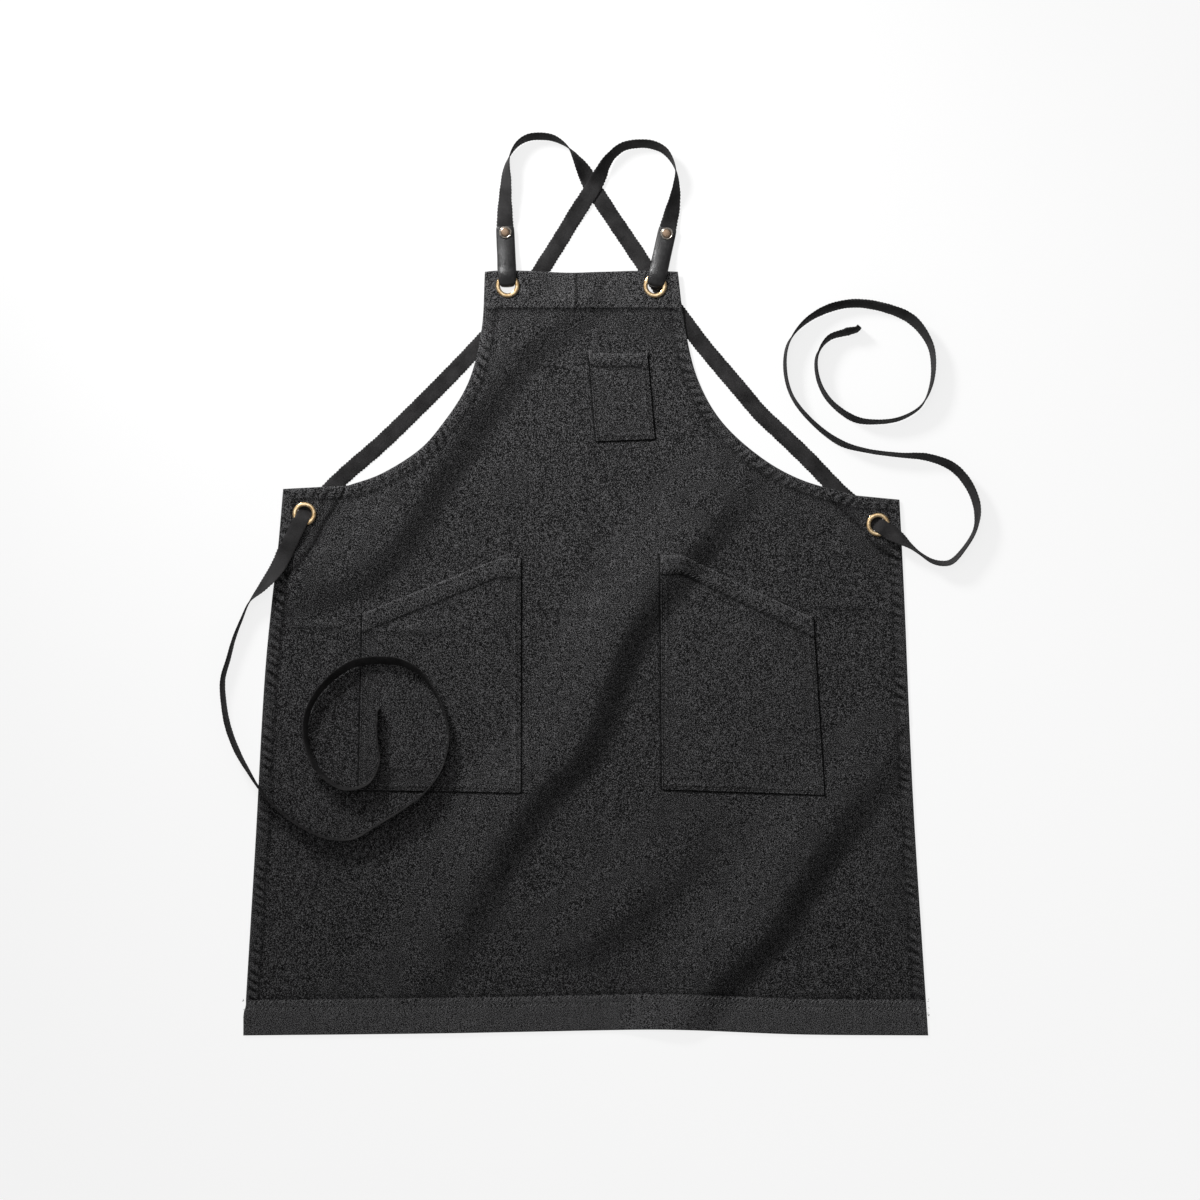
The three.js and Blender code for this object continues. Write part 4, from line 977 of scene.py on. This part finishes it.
def thread_mesh(name, stitches, top):
    """Stitches laid on a surface: (x, y, direction in radians, length, thickness, brightness)."""
    stitches = np.vstack(stitches)
    middle, turn, length, thick = stitches[:, :2], stitches[:, 2], stitches[:, 3], stitches[:, 4]
    ahead = np.column_stack([np.cos(turn), np.sin(turn)])
    ends = [middle + ahead * length[:, None] / 2 * side for side in (-1, 1)]
    levels = [top(end) for end in ends]
    start, end = (np.column_stack([place, level]) for place, level in zip(ends, levels))
    run = end - start
    centre = (start + end) / 2 + np.array([0, 0, 1]) * (thick * 0.22)[:, None]
    side = np.column_stack([left_of(ahead), np.zeros(len(ahead))])
    angle = np.linspace(0, 2 * math.pi, STITCH_SIDES, endpoint=False)
    rings = []
    for along, size in STITCH_RINGS:
        dip = np.array([0, 0, -0.5]) * (thick * (1 - size))[:, None]
        for a in angle:
            out = side * math.cos(a) + np.array([0, 0, 0.8]) * math.sin(a)
            rings.append(centre + run * along + dip + out * (thick * size / 2)[:, None])
    vertices = np.stack(rings, 1)
    faces = []
    last = (len(STITCH_RINGS) - 1) * STITCH_SIDES
    for ring in range(0, last, STITCH_SIDES):
        for j in range(STITCH_SIDES):
            k = (j + 1) % STITCH_SIDES
            faces.append((ring + j, ring + STITCH_SIDES + j, ring + STITCH_SIDES + k, ring + k))
    caps = [tuple(range(STITCH_SIDES)), tuple(last + i for i in reversed(range(STITCH_SIDES)))]
    per = len(STITCH_RINGS) * STITCH_SIDES
    every = [tuple(n * per + i for i in face) for n in range(len(stitches)) for face in faces + caps]
    shade = np.repeat(np.random.default_rng(7).uniform(0.3, 1, len(stitches)) * stitches[:, 5], per)
    return piece(name, vertices.reshape(-1, 3), every, THREAD, {"shade": shade})


def stitch_row(line, pitch, length, thick, slant, bright, seed):
    """Stitches along a line, each turned by slant degrees from it."""
    line = np.asarray(line)[:, :2]
    placed = even(line, pitch)
    places = (placed[:-1] + placed[1:]) / 2
    turn = np.arctan2(*(placed[1:] - placed[:-1]).T[::-1]) + math.radians(slant)
    vary = np.random.default_rng(seed).normal(0, 1, (3, len(places)))
    size = length * (1 + 0.09 * vary[0])
    thick = thick * (1 + 0.1 * vary[2])
    return np.column_stack([places, turn + 0.09 * vary[1], size, thick, np.full(len(size), bright)])


def bar_tack(middle):
    """A short dense bar of stitches across a pocket's corner."""
    ahead = turned_by((1, 0), TACK_TURN) * TACK_LENGTH / 2
    return stitch_row([middle - ahead, middle + ahead], 0.85, 2.6, 0.7, 78, 0.8, 1)


# Finishes


class Socket:
    """An output of a shader node. Arithmetic on it adds Math nodes, so that a formula reads as one."""

    def __init__(self, finish, output):
        self.finish = finish
        self.output = output

    def maths(self, operation, *values):
        return self.finish.node("Math", {"operation": operation}, dict(enumerate(values)))

    def __add__(self, other):
        return self.maths("ADD", self, other)

    __radd__ = __add__

    def __sub__(self, other):
        return self.maths("SUBTRACT", self, other)

    def __rsub__(self, other):
        return self.maths("SUBTRACT", other, self)

    def __mul__(self, other):
        return self.maths("MULTIPLY", self, other)

    def sine(self):
        return self.maths("SINE", self)

    def limited(self):
        return self.maths("MINIMUM", self.maths("MAXIMUM", self, 0), 1)

    def rise(self, low, high):
        """0 below low, 1 above high, and a smooth step between."""
        sockets = {"Value": self, "From Min": low, "From Max": high}
        return self.finish.node("MapRange", {"interpolation_type": "SMOOTHSTEP"}, sockets)


class Finish:
    """A procedural material, or the studio's light all round: its nodes and its shader's constants."""

    def __init__(self, owner, constants=None):
        self.owner = owner
        owner.use_nodes = True
        self.tree = owner.node_tree
        self.shader = next(n for n in self.tree.nodes if n.type in ("BSDF_PRINCIPLED", "BACKGROUND"))
        for key, value in (constants or {}).items():
            self.shader.inputs[key].default_value = value

    def node(self, kind, settings=None, sockets=None, out=0):
        """A node of a kind: its settings first, then the values or links of its sockets."""
        made = self.tree.nodes.new("ShaderNode" + kind)
        for key, value in (settings or {}).items():
            setattr(made, key, value)
        for key, value in (sockets or {}).items():
            if isinstance(value, Socket):
                self.tree.links.new(value.output, made.inputs[key])
            else:
                made.inputs[key].default_value = value
        return Socket(self, made.outputs[out])

    def place(self, x=1.0, y=1.0, z=1.0):
        """Places on the object in millimetres, each direction multiplied."""
        metres = self.node("TexCoord", out="Object")
        scale = (x / MM, y / MM, z / MM)
        return self.node("VectorMath", {"operation": "MULTIPLY"}, {0: metres, 1: scale})

    def noise(self, where, scale=1.0, detail=2.0, roughness=0.5):
        sockets = {"Vector": where, "Scale": scale, "Detail": detail, "Roughness": roughness}
        return self.node("TexNoise", {}, sockets)

    def column(self, name):
        """A number that the mesh holds at each point."""
        return self.node("Attribute", {"attribute_name": name}, out="Fac")

    def blend(self, share, dark, light):
        colours = [c if isinstance(c, Socket) else (*c, 1) for c in (dark, light)]
        return self.node("Mix", {"data_type": "RGBA"}, {0: share, 6: colours[0], 7: colours[1]}, out=2)

    def set(self, key, value):
        self.tree.links.new(value.output, self.shader.inputs[key])

    def finished(self, colour, roughness, height, distance, strength):
        """The material with its colour, its roughness and its bumps joined on."""
        self.set("Base Color", colour)
        self.set("Roughness", roughness)
        sockets = {"Height": height, "Distance": distance * MM, "Strength": strength}
        self.set("Normal", self.node("Bump", {}, sockets))
        return self.owner


def material(name, constants):
    return Finish(bpy.data.materials.new(name), constants)


def denim_finish(name, lift=0.0):
    """Charcoal denim: black warp streaks over a pale weft that shows as flecks, paler or darker by a column
    of wear with painted light and shade.
    """
    denim = material(name, {"Sheen Weight": 0.03, "Sheen Roughness": 0.5, "Specular IOR Level": 0.12})
    grain = denim.noise(denim.place(1 / 0.85, 1 / 0.95, 1 / 3), detail=1)
    warp = denim.noise(denim.place(1 / 1.2, 1 / 9, 1 / 4), detail=2)
    slubs = denim.noise(denim.place(1 / 3, 1 / 40, 1 / 10), detail=2)
    patches = denim.noise(denim.place(1 / 9, 1 / 13, 1 / 20), detail=3, roughness=0.6)
    clouds = denim.noise(denim.place(1 / 60, 1 / 70, 1 / 60), detail=2)
    place = denim.place()
    x, y = (denim.node("SeparateXYZ", {}, {0: place}, out=i) for i in (0, 1))
    twill = ((x * 0.8 + y * 0.6 + warp * 0.5) * (2 * math.pi / 1.9)).sine()
    pale = 0.05 + lift + (grain - 0.5) * 7 + (warp - 0.5) * 0.7 + (slubs - 0.5) * 0.25
    pale = pale + (patches - 0.5) * 0.3 + (clouds - 0.5) * 0.15 + twill * 0.04
    # The mesh's column holds wear together with painted light and shade.
    wear_and_painted_shade = denim.column("wear_and_painted_shade")
    pale = (pale + wear_and_painted_shade * 0.05).limited() * (1 + wear_and_painted_shade * 0.8)
    colour = denim.blend(pale, (0.004, 0.0039, 0.0041), (0.135, 0.1334, 0.1366))
    return denim.finished(colour, 0.97 - pale * 0.1, twill * 0.25 + warp * 0.4 + grain, 0.6, 1.0)


def webbing_finish():
    """Black cotton webbing in a fine herringbone, with thick cords at its selvedges."""
    web = material("black_webbing", {"Specular IOR Level": 0.15})
    along = web.column("along")
    over = web.column("over")
    fold = over.maths("ABSOLUTE", over.maths("WRAP", over, 2.3, -2.3))
    rib = ((along + fold) * (2 * math.pi / 1.15)).sine() * 0.5 + 0.5
    fuzz = web.noise(web.place(), 1.6, detail=3, roughness=0.65)
    shade = web.noise(web.place(1 / 24, 1 / 24, 1 / 24), detail=3)
    pale = (0.32 + rib * 0.3 + (fuzz - 0.5) * 1.5 + (shade - 0.5) * 1.3).limited()
    colour = web.blend(pale, (0.0065, 0.0062, 0.0063), (0.058, 0.0562, 0.0572))
    return web.finished(colour, 0.95 - rib * 0.12, rib + fuzz * 0.8, 0.3, 0.8)


def leather_finish():
    """Smooth black leather with a fine grain, shiny where it bends."""
    leather = material("black_leather", {"Specular IOR Level": 0.42, "Coat Roughness": 0.3})
    sockets = {"Vector": leather.place(), "Scale": 1.5}
    grain = leather.node("TexVoronoi", {"feature": "DISTANCE_TO_EDGE"}, sockets).rise(0.0, 0.28)
    rubbing_and_slope_shade = leather.noise(leather.place(), 0.22, detail=3)
    shade = leather.noise(leather.place(), 0.9, detail=2)
    leather.set("Coat Weight", rubbing_and_slope_shade.rise(0.4, 0.7) * 0.4)
    colour = leather.blend(shade, (0.006, 0.006, 0.0065), (0.02, 0.019, 0.0195))
    return leather.finished(colour, 0.24 + rubbing_and_slope_shade * 0.22, grain * 0.7 + rubbing_and_slope_shade * 0.6, 0.14, 0.6)


def metal_finish(name, dark, light, rough, scuffed, core=None):
    """Plated metal with handling marks: tarnish in soft patches and fine scuffs."""
    metal = material(name, {"Metallic": 1.0})
    tarnish = metal.noise(metal.place(), 0.35, detail=4, roughness=0.6)
    scuffs = metal.noise(metal.place(1, 0.12, 0.6), 2.4, detail=3)
    colour = metal.blend(tarnish.rise(0.35, 0.68), dark, light)
    if core:
        colour = metal.blend(metal.column("core") * (0.55 + tarnish * 0.8).limited(), colour, core)
    roughness = rough + tarnish * 0.14 + (scuffs - 0.5) * 0.16
    return metal.finished(colour, roughness, scuffs + tarnish * 0.6, 0.03, scuffed)


def thread_finish():
    thread = material("grey_thread", {"Sheen Weight": 0.3, "Specular IOR Level": 0.3})
    shade = thread.column("shade")
    twist = thread.noise(thread.place(), 3.0, detail=2)
    share = (shade * (0.6 + twist * 0.6)).limited()
    colour = thread.blend(share, (0.012, 0.012, 0.0125), (0.22, 0.217, 0.22))
    return thread.finished(colour, 0.75 + twist * 0.2, twist, 0.12, 0.8)


def floor_finish():
    glow = {"Emission Color": (1, 1, 1, 1), "Emission Strength": 0.81}
    paper = material("pale_floor", {"Roughness": 0.9, "Specular IOR Level": 0.0, **glow})
    soft = paper.noise(paper.place(), 0.002, detail=2)
    paper.set("Base Color", paper.blend(soft, (0.2, 0.2, 0.2), (0.22, 0.22, 0.22)))
    return paper.owner


DENIM = denim_finish("charcoal_denim")
POCKET_DENIM = denim_finish("pocket_denim", 0.02)
WEB = webbing_finish()
BLACK_LEATHER = leather_finish()
BRASS = metal_finish("rolled_brass", (0.5, 0.33, 0.16), (0.88, 0.68, 0.42), 0.14, 0.4)
COPPER = (0.27, 0.185, 0.125)
NICKEL = metal_finish("antique_nickel", (0.26, 0.23, 0.2), (0.48, 0.44, 0.39), 0.2, 0.6, COPPER)
THREAD = thread_finish()


# Camera, light and floor
PHOTO_MIDDLE = (15.96, -17.4)
PHOTO_WIDTH = 1344
CAMERA_HEIGHT = 6000
SOFTBOX = (-0.13, 0.2, 0.97)
FLOOR_REACH = 12
KEY_HEADING = 135
KEY_HEIGHT = 37
KEY_DISTANCE = 1700
KEY_SIZE = 430
KEY_SPREAD = 68
KEY_AIM = 390
KEY_POWER = 5.8


def make_studio():
    camera = add_object("camera", bpy.data.cameras.new("camera"))
    camera.location = (PHOTO_MIDDLE[0] * MM, PHOTO_MIDDLE[1] * MM, CAMERA_HEIGHT * MM)
    camera.data.sensor_width = 36
    camera.data.lens = camera.data.sensor_width * CAMERA_HEIGHT / PHOTO_WIDTH
    camera.data.clip_end = 100
    bpy.context.scene.camera = camera
    bpy.context.scene.view_settings.view_transform = "Standard"

    heading = math.radians(KEY_HEADING)
    height = math.radians(KEY_HEIGHT)
    flat = math.cos(height)
    toward = Vector((math.cos(heading) * flat, math.sin(heading) * flat, math.sin(height)))
    key = add_object("key_light", bpy.data.lights.new("key_light", "AREA"))
    key.data.shape = "DISK"
    key.data.size = KEY_SIZE * MM
    key.data.energy = KEY_POWER
    key.data.spread = math.radians(KEY_SPREAD)
    key.location = (toward * KEY_DISTANCE + Vector((0, KEY_AIM, 0))) * MM
    key.rotation_euler = toward.to_track_quat("Z", "Y").to_euler()

    world = bpy.data.worlds.new("studio")
    bpy.context.scene.world = world
    dome = Finish(world, {"Color": (1, 1, 1, 1)})
    direction = dome.node("TexCoord", out="Generated")
    facing, overhead = (
        dome.node("VectorMath", {"operation": "DOT_PRODUCT"}, {0: direction, 1: tuple(way)}, out=1)
        for way in (toward, SOFTBOX)
    )
    dome.set("Strength", 0.12 + facing.rise(-0.2, 1.0) * 0.25 + overhead.rise(0.945, 0.992) * 1.7)

    mesh = bpy.data.meshes.new("floor")
    corners = [(x * FLOOR_REACH, y * FLOOR_REACH, 0) for x, y in ((-1, -1), (1, -1), (1, 1), (-1, 1))]
    mesh.from_pydata(corners, [], [(0, 1, 2, 3)])
    mesh.materials.append(floor_finish())
    floor = add_object("floor", mesh)


make_studio()


# Waist ties


def tie_points(side):
    """A tie from behind the cloth, up through its grommet, over the flange and away to its tip."""
    grommet = waist_grommets[side]
    rows = np.array([LEFT_TIE, RIGHT_TIE][side], float)
    _, end, toward = run_points(side)
    out = unit(rows[0, :2])
    climb = GROMMET_HOLE / 3
    throat = GROMMET_HOLE - GAP
    over = WAIST_SEAT + HEM_CLOTH + 2 * GAP + FLANGE_HEIGHT
    laid = body_top(grommet + rows[:, :2]) + GAP
    points = [
        (*(end - toward * GAP), 0, 0, WEBBING_WIDTH, 0, 1),
        (*(grommet + toward * climb), 0, 0.1, WEBBING_WIDTH, 0.4, 1),
        (*grommet, 0, over / 2, throat, 1.2, 1),
        (*(grommet + out * climb), 0, over, throat, 1.2, 1),
        (*(grommet + out * (GROMMET_FLANGE / 2 + WEBBING)), 0, over, WEBBING_WIDTH * 0.94, 0.8, 1),
    ]
    for (x, y, lean, on), height in zip(rows, laid):
        place = grommet + (x, y)
        points.append((*place, lean, on * height, WEBBING_WIDTH, TIE_CURLS[side], 1))
    line = even(spline(points), 1.1)
    reach = reach_of(line)
    left = reach[-1] - reach
    line[:, 5] *= 1 + 0.7 * wander(left, 45, 44 + side)
    line[:, 6] += 0.85 * step_at(FOLDED_END - left, 1.5) + 1.1 * line_at(left - FOLDED_END, 1.5)
    line[:, 4] *= 1 + 0.2 * line_at(left - FOLDED_END, 1.5)
    ahead = unit(line[-1, :2] - line[-6, :2])
    hook = 3 * np.clip(1 - left / 6, 0, 1)[:, None] ** 2
    line[:, :2] += hook * left_of(ahead) * (1 if side else -1)
    return line


for side, word in enumerate(SIDES):
    tie, tie_line = webbing(f"waist_tie_{word}_webbing", tie_points(side), WEB)
    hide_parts(f"waist_tie_{word}")
    tie_path = (tie_line[np.r_[0 : len(tie_line) - 1 : 3, len(tie_line) - 1]] + SHIFT) * MM
    tuple(((np.array([*waist_grommets[side], WAIST_SEAT]) + SHIFT) * MM).tolist())

# Shoulder straps
for side, word in enumerate(SIDES):
    strap_rows = [(*point, WEBBING_WIDTH, 0.15, 1) for point in straps[side]]
    strap, _ = webbing(f"shoulder_strap_{word}_webbing", strap_rows, WEB)
    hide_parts(f"shoulder_strap_{word}")

# Denim panel


def make_body():
    holes = [(grommet, BORE) for grommet in (*bib_grommets, *waist_grommets)]
    rows = [body_edge.inset(depth) for depth in (0.35, 1.1, 2.4, 4.3, 6.2, 7.8, 8.5, 9.1, 9.9, 11.2, 13.6)]
    hem_heights = (28, HEM_STITCH_LOW, 31.2, 33.4, 35.6, HEM_STITCH_HIGH, 38.7, 39.6, 40.5, 42.5)
    rows += [even(hem_row(height), 3) for height in hem_heights]
    band_heights = (33, 34.8, BAND_STITCH, 37.6, 39.6, BAND_HEIGHT, 41.4, 43.4)
    rows += [even(band_row(height), 3) for height in band_heights]
    rows += [patch_line(side, off)[::2] for side in (0, 1) for off in (1.4, 0, -1.4, -4.6, -6, -7.4)]
    rows += [circle(grommet, radius, 48) for grommet, _ in holes for radius in (10.6, 12.6, 14.6, 17, 20)]
    rows += [pocket.edge.moved(-off) for pocket in pockets for off in (0.2, 1.5, 3, -1.6)]
    seam_y = np.linspace(-1, -BAND_HEIGHT, 16)
    seam_offs = (-3, -1.5, 0, 1.5, 3, 4.6)
    rows += [np.column_stack([np.full_like(seam_y, seam_x + off), seam_y]) for off in seam_offs]
    tree = None
    thinned = []
    for row in rows:
        if tree is not None:
            row = row[away(tree, row) > 0.5]
        thinned.append(row)
        tree = tree_of(np.vstack(thinned))
    body = closed_sheet("denim_panel", tessellate(body_edge, holes, thinned, CELL, 5), body_layers, DENIM)
    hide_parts("apron_body")
    return body


body = make_body()
body_stitches = [stitch_row(row, *PANEL_STITCHES[key]) for key, row in body_rows.items()]
for side, corner in enumerate(hem_corners):
    vary = np.random.default_rng(58 + side)
    for _ in range(FRAYED_THREADS):
        start = corner + np.array([(0.6 - vary.uniform(0, 1.4)) * (2 * side - 1), vary.uniform(20, 42)])
        body_stitches.append([[*start, vary.uniform(0, 3.1), vary.uniform(1.6, 3), 0.4, 0.8]])
panel_stitches = thread_mesh("panel_stitches", body_stitches, body_top)

for pocket in pockets:
    pocket.make()

# Hardware and leather


def make_grommet(name):
    """A brass ring rolled over the cloth, with a flat washer behind it."""
    middle, low, high = middle_of(name)
    base = low + GROMMET_WALL + GAP
    hole = GROMMET_HOLE / 2
    flange = GROMMET_FLANGE / 2
    face = base + HEM_CLOTH + GAP
    centre, half = (flange + hole) / 2, (flange - hole) / 2
    roll = [
        (centre + half * math.cos(turn), face + FLANGE_HEIGHT * math.sin(turn) ** 0.5)
        for turn in np.linspace(0.02, math.pi, 18)
    ]
    profile = [
        (hole, low),
        (GROMMET_WASHER / 2 - 0.2, low),
        (GROMMET_WASHER / 2, low + 0.2),
        (GROMMET_WASHER / 2, base - GAP - 0.2),
        (GROMMET_WASHER / 2 - 0.2, base - GAP),
        (hole + GROMMET_WALL, base - GAP),
        (hole + GROMMET_WALL, face - 0.1),
        (flange - 0.3, face - 0.15),
        *roll,
    ]
    made = lathe(f"{name}_ring", profile, middle, BRASS)
    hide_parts(name)


def make_snap(name):
    """A snap: its back, its shank, and a cap with a sunk disc inside a raised rim."""
    middle, low, high = middle_of(name)
    cap_low = high - SNAP_CAP_HEIGHT
    rim = SNAP_CAP / 2
    profile = [
        (0, low),
        (SNAP_BACK / 2 - 0.2, low),
        (SNAP_BACK / 2, low + 0.2),
        (SNAP_BACK / 2, low + SNAP_BACK_HEIGHT),
        (SNAP_SHANK / 2, low + SNAP_BACK_HEIGHT),
        (SNAP_SHANK / 2, cap_low),
        (rim - 0.5, cap_low),
        (rim, cap_low + 0.4),
        (rim, cap_low + 0.9),
        *((rim - inward, high - down) for inward, down in SNAP_FACE),
        (0, high),
    ]
    made = lathe(f"{name}_cap", profile, middle, NICKEL)
    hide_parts(name)


def make_tab(side, word):
    """A leather strip from behind the bib up through the grommet, folded over the webbing's end."""
    seat = BIB_SEAT - GAP - GROMMET_WALL - GAP - LEATHER / 2
    over = BIB_SEAT + HEM_CLOTH + 2 * GAP + FLANGE_HEIGHT + LEATHER / 2
    bend = (over - seat) / 2
    edge = BIB_GROMMET_DROP + LEATHER
    throat = 2 * math.sqrt((GROMMET_HOLE / 2) ** 2 - (bend / 2) ** 2) - 4 * GAP
    back = LEG_LOW + LEATHER / 2
    front = FRONT_LEG_LOW + LEATHER / 2
    rows = [
        (TAB_RISE, back, TAB_END_WIDTH, 0.2),
        (SNAP_RISE, back, TAB_WIDTH, 0.2),
        (SNAP_RISE - SNAP_CAP, back, TAB_WIDTH, 0.3),
        (edge, seat, TAB_NECK_WIDTH, 0.4),
        (GROMMET_FLANGE / 2, seat, TAB_NECK_WIDTH - 1, 0.3),
    ]
    for turn in np.linspace(0.1, math.pi - 0.1, 7):
        y = LEATHER / 2 + bend - (bend + TAB_SAG) * math.sin(turn)
        spread = smoothstep((turn - 1.9) / 1.2)
        width = throat + (TAB_NECK_WIDTH - 1.4 - throat) * spread
        rows.append((y, seat + bend - bend * math.cos(turn), width, 0.8))
    rows += [
        (GROMMET_FLANGE / 2, over + 1.1, TAB_NECK_WIDTH - 0.2, 2.1),
        (edge + 4, over - 0.5, TAB_NECK_WIDTH + 0.2, 2.6),
        (SNAP_RISE * 0.55, over * 0.4 + front * 0.6 + 0.9, TAB_WIDTH, 2.1),
        (SNAP_RISE - SNAP_CAP, front + 0.7, TAB_WIDTH + 0.2, 1.3),
        (SNAP_RISE, front, TAB_WIDTH, 0.25),
        (TAB_RISE, front, TAB_END_WIDTH, 0.2),
    ]
    line = even(spline(rows, 10), 0.8)
    y, z, width, curl = line.T
    lean = math.radians(TAB_LEANS[side])
    local = np.column_stack([y * math.sin(lean), y * math.cos(lean), z])
    middle = local + np.array([*bib_grommets[side], 0])
    across = np.tile([math.cos(lean), -math.sin(lean), 0.0], (len(y), 1))
    reach = reach_of(line)
    ends = np.minimum(reach, reach[-1] - reach)
    width = eased(width, 3) * (0.9 + 0.1 * np.sqrt(np.clip(ends / 2.2, 0, 1)))
    thickness = LEATHER * (0.55 + 0.45 * np.sqrt(np.clip(ends / 0.8, 0, 1)))
    name = f"leather_tab_{word}_strip"
    made = band_mesh(name, middle, across, width, thickness, eased(curl, 5), BLACK_LEATHER)
    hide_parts(f"leather_tab_{word}")


for side, word in enumerate(SIDES):
    make_grommet(f"bib_grommet_{word}")
    make_grommet(f"waist_grommet_{word}")
    make_snap(f"snap_{word}")
    make_tab(side, word)
